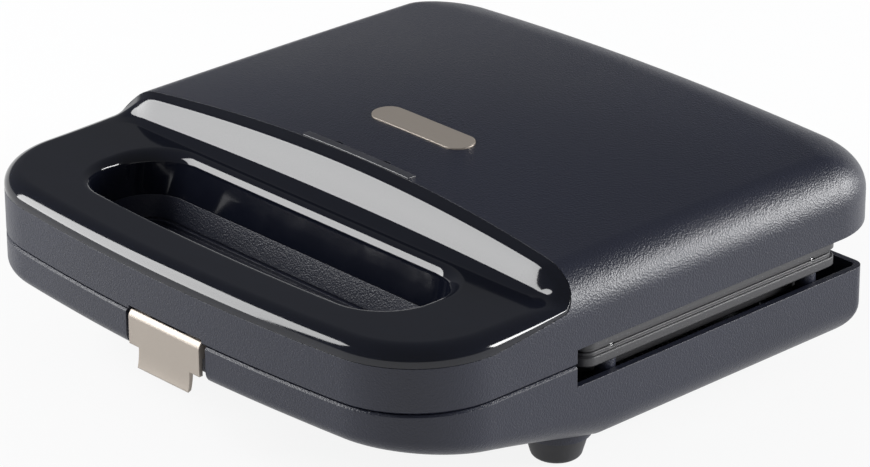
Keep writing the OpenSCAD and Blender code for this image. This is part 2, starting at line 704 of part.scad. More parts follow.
bush_z = under_z + 16;
module cord_bush() color("#1d1e22") translate([bush_x, rear_y, bush_z]) rotate([-90, 0, 0])
    difference() {
        union() {
            translate([0, 0, -wall - 3]) cylinder(r = 5.6, h = 3);
            translate([0, 0, -wall]) cylinder(r = 4.8, h = wall);
            cylinder(r = 6.2, h = 1.6);
            translate([0, 0, 1.6]) cylinder(r1 = 5.4, r2 = 4.9, h = bush_out - 1.6);
        }
        translate([0, 0, -20]) cylinder(r = bush_r, h = 40);
    }

module hinge_pins() color("#b8babd") both()
    bar(pin_r, hinge_x - knuckle_l / 2 - ear_t - 0.2, hinge_x + knuckle_l / 2 + ear_t + 0.2,
        hinge_y, hinge_z);

module base_hollow() {
    difference() {
        union() {
            // Well for the plates, the elements and the wiring.
            intersection() {
                translate([0, 0, floor_z + 7]) linear_extrude(60)
                    polygon(outline(base_rear_r, wall, wall, wall));
                translate([-hw, bay_y + wall, 0]) cube([body_w, body_d, 100]);
            }
            translate([-hw + 10, bay_y + 8, floor_z])
                cube([body_w - 20, rear_y - 11 - bay_y - 8, 20]);
            translate([block_x - 16, rear_y - 20, floor_z]) cube([32, 20 - wall, 20]);
            // Space under the deck of the grip.
            intersection() {
                rotate([90, 0, 90]) translate([0, 0, -hw + 12]) linear_extrude(body_w - 24)
                    polygon(concat(
                        [for (y = [-104:8:-40]) [y, under(y) + 3]],
                        [[bay_y + wall + 1, under(bay_y) + 3], [bay_y + wall + 1, rim_z - 3],
                            [bay_y - wall, rim_z - 3], [bay_y - wall, lower_z - 3.4],
                            [-104, lower_z - 3.4]]));
                linear_extrude(100) polygon(outline(base_rear_r, 8, 8, 8));
            }
        }
        // Screw bosses and pillars over the feet.
        both() for (y = screw_ys) translate([screw_x, y, 0]) cylinder(r = 3.6, h = 60);
        for (p = [[foot_x, foot_front_y], [rear_foot_x, foot_rear_y]]) both()
            translate([p[0], p[1], 0]) cylinder(r = 4.5, h = floor_z + 5);
        // Ribs across the floor.
        for (x = [-60:40:60]) translate([x - 0.8, bay_y + 10, 0]) cube([1.6, 100, floor_z + 2.5]);
    }
}

module lower_shell() {
    w0 = outline(base_rear_r, 0, 0, 0);
    color("#34363d") difference() {
        union() {
            difference() {
                loft(concat(
                    [for (k = [0.1, 0.3, 0.55, 0.8]) [for (p = low_ring(90)) let (y = p[1] * k)
                        [p[0] * k, y, under(y)]]],
                    [for (a = [90:-15:0]) low_ring(a)],
                    [at_z(w0, lower_z - edge_c),
                        at_z(outline(base_rear_r, edge_c + 2, edge_c + 2, edge_c + 2), lower_z + 2)]));
                translate([-200, -200, lower_z]) cube([400, 400, 50]);
                base_hollow();
                translate([-200, bay_y, rim_z]) cube([400, 300, 100]);
                // Sunk panel under the grip opening.
                translate([0, 0, lower_z - floor_drop]) linear_extrude(10)
                    polygon(grip(upper_z, -1.2));
                // Notch for the latch and slot for its catch.
                translate([-notch_hw, front_y - 10, 0])
                    cube([2 * notch_hw, notch_y - front_y + 10, 100]);
                catch_slot(0.1);
            }
            // Bosses rise over the rim.
            both() for (y = screw_ys) translate([screw_x, y, rim_z - 1])
                cylinder(r = 3.6, h = lower_z - rim_t - rim_z + 1);
            // Brackets on the rear wall that carry the knuckles.
            both() rotate([90, 0, 90]) translate([0, 0, hinge_x - knuckle_l / 2])
                linear_extrude(knuckle_l) polygon([
                    [rear_y - wall / 2, hinge_z - 20], [rear_y, hinge_z - 20],
                    [hinge_y + knuckle_r * 0.93, hinge_z - knuckle_r * 0.3],
                    [hinge_y, hinge_z + 1], [hinge_y - knuckle_r * 0.99, hinge_z],
                    [rear_y - wall / 2, rim_z - 1]]);
            both() bar(knuckle_r, hinge_x - knuckle_l / 2, hinge_x + knuckle_l / 2,
                hinge_y, hinge_z);
            // Pads over the feet.
            for (p = [[foot_x, foot_front_y], [rear_foot_x, foot_rear_y]]) both()
                translate([p[0], p[1], pad_z]) cylinder(r = foot_r + 1, h = 5);
        }
        both() bar(pin_r + 0.02, hinge_x - 20, hinge_x + 20, hinge_y, hinge_z);
        both() for (y = screw_ys) translate([screw_x, y, lower_z - rim_t - 10])
            cylinder(r = 1.3, h = 12);
        for (p = [[foot_x, foot_front_y], [rear_foot_x, foot_rear_y]]) both()
            translate([p[0], p[1], -1]) cylinder(r = 3.1, h = pad_z + 4);
        translate([bush_x, rear_y - 8, bush_z]) rotate([-90, 0, 0]) cylinder(r = 4.85, h = 20);
    }
}
pad_z = under_z - 1;
// Ring of the base's rounded lower edge at angle a, from the wall (0) to the floor (90).
function low_ring(a) = let (
        rr = base_rear_r + lower_r * (1 - cos(a)),
        p = outline(rr, 0, 0, 0),
        q = outline(rr, 1, 1, 1))
    [for (i = [0:len(p) - 1]) let (r = lower_round(p[i][1]), t = r * (1 - cos(a)),
            v = lerp(p[i], q[i], t))
        [v[0], v[1], under(v[1]) + r * (1 - sin(a))]];

// Flat spring tongue that the latch hooks under.
module catch_slot(g) translate([-8 - g, notch_y - 1, hook_z + 0.4 - g])
    cube([16 + 2 * g, 5 + g, 1.2 + 2 * g]);
module latch_catch() color("#a7a9ac") {
    rotate([90, 0, 90]) translate([0, 0, -8]) linear_extrude(16) polygon([
        [notch_y + 4, hook_z + 0.4], [notch_y + 4, hook_z + 1.6], [notch_y - 1.2, hook_z + 1.6],
        [notch_y - 2.7, hook_z + 1], [notch_y - 2.7, hook_z + 0.4]]);
}

module latch() color("#a89f94") difference() {
    union() {
        // Face plate with its rounded top, and the finger tab that curls out.
        rotate([90, 0, 90]) translate([0, 0, -latch_hw]) linear_extrude(2 * latch_hw)
            intersection() {
                translate([latch_face, hook_z - 1.6]) square([latch_t, 20]);
                union() {
                    translate([latch_y, latch_z]) circle(latch_sweep);
                    translate([latch_face, 0]) square([latch_t, latch_z]);
                }
            }
        rotate([90, 0, 90]) translate([0, 0, -tab_hw]) linear_extrude(2 * tab_hw) polygon(concat(
            [for (i = [0:8]) tab_line(i / 8, 0)], [for (i = [8:-1:0]) tab_line(i / 8, latch_t)]));
        // Barrels on both sides of the lug.
        both() bar(barrel_r, lug_hw + 0.35, latch_hw, latch_y, latch_z);
        both() translate([lug_hw + 0.35, latch_face, latch_z - barrel_r])
            cube([latch_hw - lug_hw - 0.35, latch_y - latch_face, barrel_r]);
        // Hook and its two gussets.
        rotate([90, 0, 90]) translate([0, 0, -7.5]) linear_extrude(15) polygon([
            [latch_face + latch_t - 0.1, hook_z - 1.6], [notch_y - 1.6, hook_z - 1.2],
            [notch_y - 0.8, hook_z - 0.6], [notch_y - 0.8, hook_z],
            [latch_face + latch_t - 0.1, hook_z]]);
    }
    both() bar(latch_pin_r + 0.02, lug_hw - 1, latch_hw - 1.2, latch_y, latch_z);
}
// Outline of the finger tab from the shoulder down, curling to the front.
function tab_line(t, d) = let (z = lerp(hook_z - 1.5, tab_z, t), out = tab_curl * pow(t, 2.2))
    [latch_face + d * (1 - 0.15 * t) - out, z + d * 0.35 * t];

module latch_pin() color("#b8babd") bar(latch_pin_r, 1.3 - latch_hw, latch_hw - 1.3, latch_y, latch_z);

// Rubber foot, turned, with a domed sole and a stem into the base.
module foot(x, y) translate([x, y, 0]) rotate_extrude() polygon(concat(
    [[0, 0]], [for (a = [0:15:75]) [foot_r - 4.5 + 2.5 * sin(a), 2.5 * (1 - cos(a))]],
    [[foot_r - 1.2, pad_z * 0.55], [foot_r, pad_z], [3, pad_z], [3, pad_z + 2.6], [0, pad_z + 2.6]]));
module front_feet() color("#15161a") both() foot(foot_x, foot_front_y);
module rear_feet() color("#15161a") both() foot(rear_foot_x, foot_rear_y);

upper_shell();
handle_trim();
nameplate();
indicator_lens();
power_lamp();
ready_lamp();
lamp_holder();
upper_plate();
upper_plate_screws();
upper_heater();
upper_heater_clamps();
upper_heat_shield();
latch();
latch_pin();
lower_shell();
lower_plate();
lower_plate_screws();
lower_heater();
lower_heater_clamps();
lower_heat_shield();
thermostat();
thermal_fuse();
terminal_block();
cord_bush();
hinge_pins();
latch_catch();
front_feet();
rear_feet();
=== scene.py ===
"""Looks of a sandwich toaster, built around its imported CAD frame."""

import json
import math

import bmesh
import bpy
import numpy as np
from mathutils import Matrix, Vector

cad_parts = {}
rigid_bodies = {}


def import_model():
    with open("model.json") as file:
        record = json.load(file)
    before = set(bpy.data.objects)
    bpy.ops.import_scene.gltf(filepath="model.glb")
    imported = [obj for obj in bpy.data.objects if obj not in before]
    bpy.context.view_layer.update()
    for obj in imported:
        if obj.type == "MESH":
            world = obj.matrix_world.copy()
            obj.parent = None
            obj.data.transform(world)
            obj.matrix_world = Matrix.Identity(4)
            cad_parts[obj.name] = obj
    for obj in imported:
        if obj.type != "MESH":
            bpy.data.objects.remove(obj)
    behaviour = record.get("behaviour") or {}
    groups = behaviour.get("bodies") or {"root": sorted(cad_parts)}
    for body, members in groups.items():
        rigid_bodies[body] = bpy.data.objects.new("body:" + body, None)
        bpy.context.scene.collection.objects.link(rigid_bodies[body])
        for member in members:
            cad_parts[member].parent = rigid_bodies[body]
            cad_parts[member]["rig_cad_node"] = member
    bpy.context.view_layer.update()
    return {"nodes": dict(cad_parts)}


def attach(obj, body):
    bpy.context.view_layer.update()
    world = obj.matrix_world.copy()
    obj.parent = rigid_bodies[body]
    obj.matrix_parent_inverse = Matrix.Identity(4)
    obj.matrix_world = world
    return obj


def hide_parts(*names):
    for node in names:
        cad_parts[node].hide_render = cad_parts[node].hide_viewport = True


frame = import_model()
NODES = frame["nodes"]

bl_info = {
    "name": "Sandwich toaster looks",
    "version": (1, 0, 0),
    "blender": (4, 5, 0),
    "location": "View3D > Sidebar > Toaster",
    "description": "Builds the shells, trim, latch, plates and finishes of a sandwich toaster",
    "category": "Add Mesh",
}

MM = 0.001

# ------------------------------------------------------------------ sizes, in millimetres
# Outline of the shells from above: half width, front, rear of base and lid, radii.
HW, FRONT_Y, REAR_Y, LID_REAR_Y = 115.0, -118.45, 102.05, 119.75
BOW_R, CORNER_R, LID_REAR_R, BASE_REAR_R = 770.0, 37.0, 31.0, 5.0
# Edges where the shells meet, wall and edge chamfer.
UPPER_Z, LOWER_Z, WALL, EDGE_C = 43.2, 42.8, 2.6, 0.7
# Lid: top of its side walls, crown and dome over them, fillets, rear skirt and plate bay.
SEAM_Z, LID_SIDE_Z, CROWN_H, DOME_H = 59.4, 74.5, 5.4, 2.1
CROWN_END_Y, CROWN_MID_Y, CROWN_RINGS = LID_REAR_Y - 15, 12.0, 26
SIDE_FILLET, REAR_FILLET = 14.4, 27.6
SKIRT_Z, BAY_Y = 48.7, -39.5
# Grip trim: flat ring, bevel, seam with its tips, wall and lower edge.
RING_Z, BEVEL = 66.0, 6.7
SEAM_R, SEAM_Y, FOOT_Y, TIP_R, TIP_TUCK, TUCK_EASE = 900.0, -32.6, -48.0, 6.0, 0.4, 2.2
TRIM_T, SEAM_GAP = 2.0, 0.15
TRIM_LIP, SLOPE_EDGE, SLOPE_DEPTH, SEAT_STEP = 0.1, 2.1, 3.3, 3.4
# Finger opening, and how much it narrows on its way down.
GRIP_HW, GRIP_FRONT, GRIP_REAR = 84.0, -100.0, -49.5
GRIP_R, GRIP_BOW, GRIP_ROUND, GRIP_SEAM_Z, GRIP_LEAN = 24.0, 900.0, 4.0, 51.3, 7.0
GRIP_SIDE_LEAN, GRIP_FRONT_LEAN, GRIP_R_LEAN = 2.5, 1.0, 2.0
# Base: rim of the plate bay, underside with its rise to the chin, lower rounding.
RIM_Z, UNDER_Z, CHIN_Z = 35.3, 10.0, 29.2
RISE_Y, RISE_END_Y, RISE_CURVE = -26.0, FRONT_Y + 4, 1.3
LOWER_R, FRONT_LOWER_R, FLOOR_DROP = 11.0, 4.5, 1.5
FLOOR_IN_Z = UNDER_Z + WALL + 0.4
# Plates.
PLATE_W, PLATE_FRONT, PLATE_REAR = 224.0, -33.0, 91.0
RIM_T, DISH_D, POCKET_D, LAND, RIDGE = 4.8, 12.8, 9.6, 9.0, 3.0
POCKET_RUN, POCKET_REACH, POCKET_R = 6.0, 26.0, 3.0
MID_Y, DISH_X, DISH_Y = 29.0, 104.0, 55.0
# Plate screws: places, radii of boss, pilot, clearance hole and head.
SCREW_X, SCREW_YS = 108.2, (-20.0, 78.0)
BOSS_R, PILOT_R, CLEAR_R, HEAD_R = 3.6, 1.3, 1.7, 3.1
# Hinge and latch.
HINGE_Y, HINGE_Z, KNUCKLE_R, PIN_R, HINGE_X, KNUCKLE_L, EAR_T = (
    105.05, 45.0, 3.8, 1.8, 68.0, 12.0, 4.2)
LATCH_HW, LATCH_Y, LATCH_Z, LATCH_PIN_R, LUG_HW, LUG_R = (
    18.2, -114.95, 40.6, 1.2, 9.0, 2.2)
NOTCH_HW, NOTCH_Y, RELIEF_Z, HOOK_Z = 20.5, -111.85, 45.0, 33.0
EAR_PLAY, LATCH_PLAY, PIN_FIT = 0.06, 0.05, 0.02
# Badge, indicator window, lamps, feet and cord bush.
BADGE_HL, BADGE_W, BADGE_Y = 23.6, 12.0, -1.0
LENS_HL, LENS_W = 27.0, 3.2
LAMP_X, LAMP_HOLE_R = 12.0, 2.5
FOOT_R, FOOT_BOSS_R, FOOT_STUD_R = 11.0, 4.5, 3.1
FOOT_X, FOOT_FRONT_Y, REAR_FOOT_X, FOOT_REAR_Y = 95.0, -29.0, 86.0, 74.0
FEET = ((FOOT_X, FOOT_FRONT_Y), (REAR_FOOT_X, FOOT_REAR_Y))
BUSH_X, BUSH_Z, BUSH_HOLE_R = 40.0, 26.0, 4.85
DOME_Y = SEAM_Y - 0.4
PAD_Z = UNDER_Z - 1
BLOCK_X = BUSH_X - 36
# Reach of cutting blocks past the part: to the sides, to the rear and upwards.
WIDE, DEEP, TALL = 200, 270, 100

# ------------------------------------------------------------------ stage
# Camera: direction in degrees, distance and target in metres, picture measures in pixels.
CAM_AZ, CAM_EL, CAM_DIST = 46.515, 24.005, 1.43796
CAM_TARGET = (0.02173, 0.00120, 0.04659)
FRAME_PX, CENTRE_PX, FOCAL_PX, SENSOR = (870, 467), (471.0, 236.45), 4156.7, 36.0
# Area lamps: name, place, aim and size in metres, watts.
LAMPS = (
    ("rear_right_box", (1.05, 1.25, 0.45), (0.1, 0.05, 0.06), (1.1, 0.45), 40.0),
    ("left_front_panel", (-0.95, -0.86, 0.62), (0.0, -0.03, 0.30), (0.75, 1.10), 25.0))

# Steps along the front, a corner, a side, a tip and the rear of each outline.
NF, NC, NS, NT, NR = 48, 20, 16, 16, 72


def lerp(a, b, t):
    return a + (b - a) * t


def clamp01(t):
    return np.clip(t, 0.0, 1.0)


def smooth(t):
    return t * t * (3 - 2 * t)


def cosd(a):
    return np.cos(np.radians(a))


def sind(a):
    return np.sin(np.radians(a))


def arc(cx, cy, rx, ry, a0, a1, n):
    """Points on an elliptical arc, without its last point."""
    a = np.linspace(a0, a1, n, endpoint=False)
    return np.c_[cx + rx * cosd(a), cy + ry * sind(a)]


def run(p, q, n):
    """Points on a straight line, without its last point."""
    t = np.linspace(0, 1, n, endpoint=False)[:, None]
    return np.array(p) + (np.array(q) - np.array(p)) * t


def corner_c(w, fy, bow, cr):
    """Centre of the corner between a bowed front and a straight side."""
    return w - cr, fy + bow - math.sqrt((bow - cr) ** 2 - (w - cr) ** 2)


def bow_angle():
    """Centre of the front corner, and half the angle that the bowed front covers."""
    cx, cy = corner_c(HW, FRONT_Y, BOW_R, CORNER_R)
    return cx, cy, math.degrees(math.asin(cx / (BOW_R - CORNER_R)))


def outline(rr, dx, df=None, dr=None, ry=REAR_Y):
    """Housing outline from above, moved in by dx at the sides, df in front, dr behind."""
    df = dx if df is None else df
    dr = dx if dr is None else dr
    cx, cy, a = bow_angle()
    side, back = HW - dx, ry - rr
    return np.vstack([
        arc(0, FRONT_Y + BOW_R, BOW_R - df, BOW_R - df, 270 - a, 270 + a, NF),
        arc(cx, cy, CORNER_R - dx, CORNER_R - df, 270 + a, 360, NC),
        run([side, cy], [side, back], NS),
        arc(HW - rr, back, rr - dx, rr - dr, 0, 90, NC),
        run([HW - rr, ry - dr], [rr - HW, ry - dr], NS),
        arc(rr - HW, back, rr - dx, rr - dr, 90, 180, NC),
        run([-side, back], [-side, cy], NS),
        arc(-cx, cy, CORNER_R - dx, CORNER_R - df, 180, 270 - a, NC)])


def crown(x, y):
    """Height of the lid's top, arched across and slightly domed lengthwise."""
    v = (2 * y - SEAM_Y - CROWN_END_Y) / (CROWN_END_Y - SEAM_Y)
    return LID_SIDE_Z + np.maximum(0, CROWN_H + DOME_H * (1 - v * v)) \
        * np.maximum(0, 1 - (x / HW) ** 2)


def lid_z(x, y):
    """Height of the lid's skin, with its side fillets."""
    u = clamp01((np.abs(x) - HW + SIDE_FILLET) / SIDE_FILLET)
    return SEAM_Z + (crown(x, y) - SEAM_Z) * np.sqrt(1 - u * u)


def forward(y):
    """How far along the underside's rise: 0 behind it, 1 at the chin."""
    return clamp01((RISE_Y - y) / (RISE_Y - RISE_END_Y))


def under(y):
    """Height of the base's underside."""
    return UNDER_Z + (CHIN_Z - UNDER_Z) * (1 - (1 - forward(y)) ** RISE_CURVE)


def lower_round(y):
    """Radius of the base's lower edge."""
    return lerp(LOWER_R, FRONT_LOWER_R, forward(y))


def at_z(pts, z):
    return np.c_[pts[:, :2], np.full(len(pts), float(z)) if np.isscalar(z) else z]


# ------------------------------------------------------------------ meshes
def new_object(name, verts, faces):
    """A mesh object from points in millimetres."""
    mesh = bpy.data.meshes.new(name)
    mesh.from_pydata([tuple(v) for v in np.asarray(verts, float) * MM], [],
                     [tuple(int(i) for i in f) for f in faces])
    mesh.update()
    obj = bpy.data.objects.new(name, mesh)
    bpy.context.scene.collection.objects.link(obj)
    return obj


def face_outwards(obj):
    bm = bmesh.new()
    bm.from_mesh(obj.data)
    bmesh.ops.recalc_face_normals(bm, faces=bm.faces)
    if bm.calc_volume(signed=True) < 0:
        bmesh.ops.reverse_faces(bm, faces=bm.faces)
    bm.to_mesh(obj.data)
    bm.free()
    return obj


def loft(name, rings):
    """Closed solid through rings of points, capped by a fan at both ends."""
    n, m = len(rings[0]), len(rings)
    mids = [(r.min(0) + r.max(0)) / 2 for r in (rings[0], rings[-1])]
    faces = []
    for k in range(m - 1):
        for i in range(n):
            j = (i + 1) % n
            faces.append((k * n + i, k * n + j, (k + 1) * n + j, (k + 1) * n + i))
    for i in range(n):
        j = (i + 1) % n
        faces.append((n * m, j, i))
        faces.append((n * m + 1, (m - 1) * n + i, (m - 1) * n + j))
    return face_outwards(new_object(name, np.vstack([*rings, *mids]), faces))


def ring_loft(name, sections):
    """Closed ring of closed sections."""
    m, n = len(sections), len(sections[0])
    faces = []
    for k in range(m):
        l = (k + 1) % m
        for i in range(n):
            j = (i + 1) % n
            faces.append((k * n + i, k * n + j, l * n + j, l * n + i))
    return face_outwards(new_object(name, np.vstack(sections), faces))


def prism(name, pts, z0, z1):
    """Upright solid over an outline."""
    pts = np.asarray(pts, float)
    n = len(pts)
    faces = [tuple(reversed(range(n))), tuple(range(n, 2 * n))]
    faces += [(i, (i + 1) % n, n + (i + 1) % n, n + i) for i in range(n)]
    return face_outwards(new_object(name, np.vstack([at_z(pts, z0), at_z(pts, z1)]), faces))


def block(x0, x1, y0, y1, z0, z1):
    return prism("tool", [(x0, y0), (x1, y0), (x1, y1), (x0, y1)], z0, z1)


def rod(axis, r, a0, a1, c, r_end=None):
    """Round bar along an axis, 'x', 'y' or 'z', from a0 to a1 through the point c."""
    n = 40
    r_end = r if r_end is None else r_end
    t = np.linspace(0, 2 * np.pi, n, endpoint=False)
    k = "xyz".index(axis)
    rings = []
    for a, q in ((a0, r), (a1, r_end)):
        p = np.zeros((n, 3))
        others = [i for i in range(3) if i != k]
        p[:, k] = a
        p[:, others[0]] = c[0] + q * np.cos(t)
        p[:, others[1]] = c[1] + q * np.sin(t)
        rings.append(p)
    return loft("tool", rings)


def hull(points):
    """Convex solid round points."""
    bm = bmesh.new()
    for p in np.asarray(points) * MM:
        bm.verts.new(p)
    got = bmesh.ops.convex_hull(bm, input=bm.verts)
    junk = [g for g in got["geom_interior"] + got["geom_unused"]
            if isinstance(g, bmesh.types.BMVert) and g.is_valid]
    bmesh.ops.delete(bm, geom=list(set(junk)), context="VERTS")
    mesh = bpy.data.meshes.new("tool")
    bm.to_mesh(mesh)
    bm.free()
    obj = bpy.data.objects.new("tool", mesh)
    bpy.context.scene.collection.objects.link(obj)
    return face_outwards(obj)


def carve(obj, *tools, how="DIFFERENCE"):
    """Cuts, joins or crosses closed solids, and removes the tools."""
    for t in tools:
        mod = obj.modifiers.new("carve", "BOOLEAN")
        mod.operation, mod.solver, mod.object = how, "MANIFOLD", t
        bpy.context.view_layer.update()
        dg = bpy.context.evaluated_depsgraph_get()
        made = bpy.data.meshes.new_from_object(obj.evaluated_get(dg))
        obj.modifiers.clear()
        old, obj.data = obj.data, made
        bpy.data.meshes.remove(old)
        mesh = t.data
        bpy.data.objects.remove(t)
        bpy.data.meshes.remove(mesh)
        if not obj.data.polygons:
            raise RuntimeError(f"{obj.name}: a cut left nothing")
    return obj


def both(make):
    """A tool on the right and its mirror image on the left."""
    return [make(1), make(-1)]


def set_shading(obj, angle=32.0, weld=0.02):
    """Merges doubled points, shades smooth up to an angle and weights normals by area."""
    bm = bmesh.new()
    bm.from_mesh(obj.data)
    bmesh.ops.remove_doubles(bm, verts=bm.verts, dist=weld * MM)
    bmesh.ops.dissolve_degenerate(bm, edges=bm.edges, dist=0.002 * MM)
    bm.to_mesh(obj.data)
    bm.free()
    for p in obj.data.polygons:
        p.use_smooth = True
    obj.data.set_sharp_from_angle(angle=math.radians(angle))
    mod = obj.modifiers.new("weighted", "WEIGHTED_NORMAL")
    mod.keep_sharp, mod.weight = True, 80
    return obj


def soften(obj, width, segments=2):
    """Rounds a CAD node's edges with a bevel modifier and shades it smooth."""
    w = obj.modifiers.new("weld", "WELD")
    w.merge_threshold = 0.002 * MM
    b = obj.modifiers.new("bevel", "BEVEL")
    b.width, b.segments, b.limit_method = width * MM, segments, "ANGLE"
    b.angle_limit = math.radians(35.0)
    b.use_clamp_overlap, b.harden_normals = True, False
    b.miter_outer = "MITER_ARC"
    for p in obj.data.polygons:
        p.use_smooth = True
    n = obj.modifiers.new("weighted", "WEIGHTED_NORMAL")
    n.keep_sharp, n.weight = True, 80
    return obj


# ------------------------------------------------------------------ shader language
class Sock:
    """A socket or number with arithmetic, which adds Math nodes as it is written."""

    def __init__(self, shader, value):
        self.shader, self.value = shader, value

    def _math(self, op, *others, clamp=False):
        node = self.shader.node("ShaderNodeMath", dict(operation=op, use_clamp=clamp),
                                [self, *others])
        return node[0]

    def __add__(self, o):
        return self._math("ADD", o)

    def __sub__(self, o):
        return self._math("SUBTRACT", o)

    def __mul__(self, o):
        return self._math("MULTIPLY", o)

    def __rsub__(self, o):
        return Sock(self.shader, o)._math("SUBTRACT", self)

    __radd__, __rmul__ = __add__, __mul__

    def clamped(self):
        return self._math("ADD", 0.0, clamp=True)

    def above(self, edge, width):
        """0 under edge, 1 over edge + width, with a soft step between them."""
        node = self.shader.node(
            "ShaderNodeMapRange", dict(interpolation_type="SMOOTHSTEP"),
            {"Value": self, "From Min": edge, "From Max": edge + width})
        return node["Result"]


class Outs:
    """A node's outputs by number or name."""

    def __init__(self, shader, node):
        self.shader, self.raw = shader, node

    def __getitem__(self, key):
        return Sock(self.shader, self.raw.outputs[key])


class Shader:
    """Builds the node tree of a new material, or of a given world."""

    def __init__(self, name="", world=None):
        self.mat = world or bpy.data.materials.new(name)
        self.mat.use_nodes = True
        self.tree = self.mat.node_tree
        self.tree.nodes.clear()

    def node(self, kind, settings=None, inputs=None):
        """Adds a node. Inputs are given by number or name, as sockets or values."""
        n = self.tree.nodes.new(kind)
        for k, v in (settings or {}).items():
            setattr(n, k, v)
        pairs = enumerate(inputs) if isinstance(inputs, (list, tuple)) \
            else (inputs or {}).items()
        for key, v in pairs:
            value = v.value if isinstance(v, Sock) else v
            socket = n.inputs[key]
            if isinstance(value, bpy.types.NodeSocket):
                self.tree.links.new(value, socket)
            else:
                socket.default_value = value
        return Outs(self, n)

    def place(self):
        """Position on the object, in metres."""
        return self.node("ShaderNodeTexCoord")["Object"]

    def noise(self, scale, detail=2.0, rough=0.5, vector=None):
        return self.node("ShaderNodeTexNoise", dict(noise_type="FBM"), {
            "Vector": vector or self.place(), "Scale": scale,
            "Detail": detail, "Roughness": rough})[0]

    def cells(self, scale, feature="F1", smoothness=None):
        inputs = {"Vector": self.place(), "Scale": scale}
        if smoothness is not None:
            inputs["Smoothness"] = smoothness
        return self.node("ShaderNodeTexVoronoi", dict(feature=feature), inputs)["Distance"]

    def mix(self, t, a, b):
        """Colour a where t is 0, b where t is 1."""
        return self.node("ShaderNodeMix", dict(data_type="RGBA"), {0: t, 6: a, 7: b})[2]

    def bump(self, height, strength, distance, normal):
        return self.node("ShaderNodeBump", None, {
            "Strength": strength, "Distance": distance * MM, "Height": height,
            "Normal": normal})[0]

    def rounded(self, radius):
        """Normal with edges rounded by a small radius."""
        return self.node("ShaderNodeBevel", dict(samples=6), {"Radius": radius * MM})[0]

    def finish(self, **sockets):
        """Closes the tree with a Principled shader. Names use _ for a space."""
        inputs = {k.replace("_", " "): v for k, v in sockets.items()}
        principled = self.node("ShaderNodeBsdfPrincipled", None, inputs)
        self.node("ShaderNodeOutputMaterial", None, {"Surface": principled[0]})
        return self.mat


def rgb(colour):
    return (*colour[:3], 1.0)


def paint(obj, mat, slot=None):
    """Gives an object its one material. The slot is not used."""
    obj.data.materials.clear()
    obj.data.materials.append(mat)
    for p in obj.data.polygons:
        p.material_index = 0
    slot and "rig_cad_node" not in obj
    return obj


def moulded_plastic(name, colour, rough, grain, depth):
    """Spark-textured moulded plastic: fine pits and a slightly uneven sheen."""
    s = Shader(name)
    fine = s.noise(1 / (grain * MM), 3.0, 0.55)
    pits = s.cells(1 / (grain * 1.5 * MM), feature="SMOOTH_F1", smoothness=0.6)
    mottle = s.noise(14.0, 2.0)
    height = fine * 0.7 + pits * 0.6
    base = s.mix(mottle.above(0.3, 0.4), rgb([c * 0.94 for c in colour]),
                 rgb([c * 1.06 for c in colour]))
    normal = s.bump(height, 1.0, depth, s.rounded(0.35))
    return s.finish(Base_Color=base, Roughness=(mottle * 0.08 + (rough - 0.04)),
                    Normal=normal, IOR=1.5, Specular_IOR_Level=0.45)


def gloss_plastic(name, colour):
    """Polished moulded plastic with faint waviness and handling haze."""
    s = Shader(name)
    wave = s.noise(38.0, 1.0)
    haze = s.noise(120.0, 4.0, 0.6)
    normal = s.bump(wave, 0.25, 0.05, s.rounded(0.3))
    base = s.mix(haze.above(0.4, 0.3), rgb([c * 0.96 for c in colour]),
                 rgb([c * 1.05 for c in colour]))
    return s.finish(Base_Color=base, Roughness=haze.above(0.45, 0.4) * 0.05 + 0.07,
                    Normal=normal, IOR=1.5)


def pearl_lacquer(name, colour):
    """Champagne metallic lacquer: fine flakes under a satin coat."""
    s = Shader(name)
    flakes = s.cells(1 / (0.12 * MM))
    cloud = s.noise(60.0, 2.0)
    base = s.mix(flakes.above(0.2, 0.6), rgb(colour), rgb([min(1, c * 1.12) for c in colour]))
    normal = s.bump(flakes * 0.5 + cloud * 0.3, 0.35, 0.02, s.rounded(0.4))
    return s.finish(Base_Color=base, Metallic=flakes.above(0.2, 0.6) * 0.1 + 0.35,
                    Roughness=cloud * 0.08 + 0.34, Normal=normal)


def coated_casting(name, colour, rough):
    """Non-stick coating on cast aluminium: orange peel and specks."""
    s = Shader(name)
    peel = s.noise(1 / (0.9 * MM), 3.0, 0.6)
    specks = s.cells(1 / (1.1 * MM))
    base = s.mix(1 - specks.above(0.10, 0.08), rgb(colour), rgb([c * 2.6 for c in colour]))
    normal = s.bump(peel, 1.0, 0.05, s.rounded(0.5))
    return s.finish(Base_Color=base, Roughness=peel * 0.12 + rough, Normal=normal,
                    Metallic=0.0)


def worked_metal(name, colour, rough):
    """Rolled or turned metal with drawn-out fine scratches and tarnish."""
    s = Shader(name)
    stretched = s.node("ShaderNodeVectorMath", dict(operation="MULTIPLY"),
                       {0: s.place(), 1: (1.0, 12.0, 12.0)})[0]
    lines = s.noise(90.0, 4.0, 0.6, stretched)
    tarnish = s.noise(45.0, 3.0)
    base = s.mix(tarnish.above(0.35, 0.4), rgb([c * 0.82 for c in colour]), rgb(colour))
    normal = s.bump(lines, 0.6, 0.01, s.rounded(0.2))
    return s.finish(Base_Color=base, Metallic=1.0, Normal=normal,
                    Roughness=lines * 0.12 + tarnish * 0.1 + (rough - 0.1))


def soft_rubber(name, colour):
    """Dull rubber with fine pores and a faint bloom."""
    s = Shader(name)
    bloom = s.noise(70.0, 3.0)
    pores = s.noise(1 / (0.4 * MM), 2.0)
    base = s.mix(bloom.above(0.4, 0.3), rgb(colour), rgb([c * 1.5 + 0.004 for c in colour]))
    return s.finish(Base_Color=base, Roughness=bloom * 0.12 + 0.57,
                    Normal=s.bump(pores, 0.5, 0.03, s.rounded(0.4)))


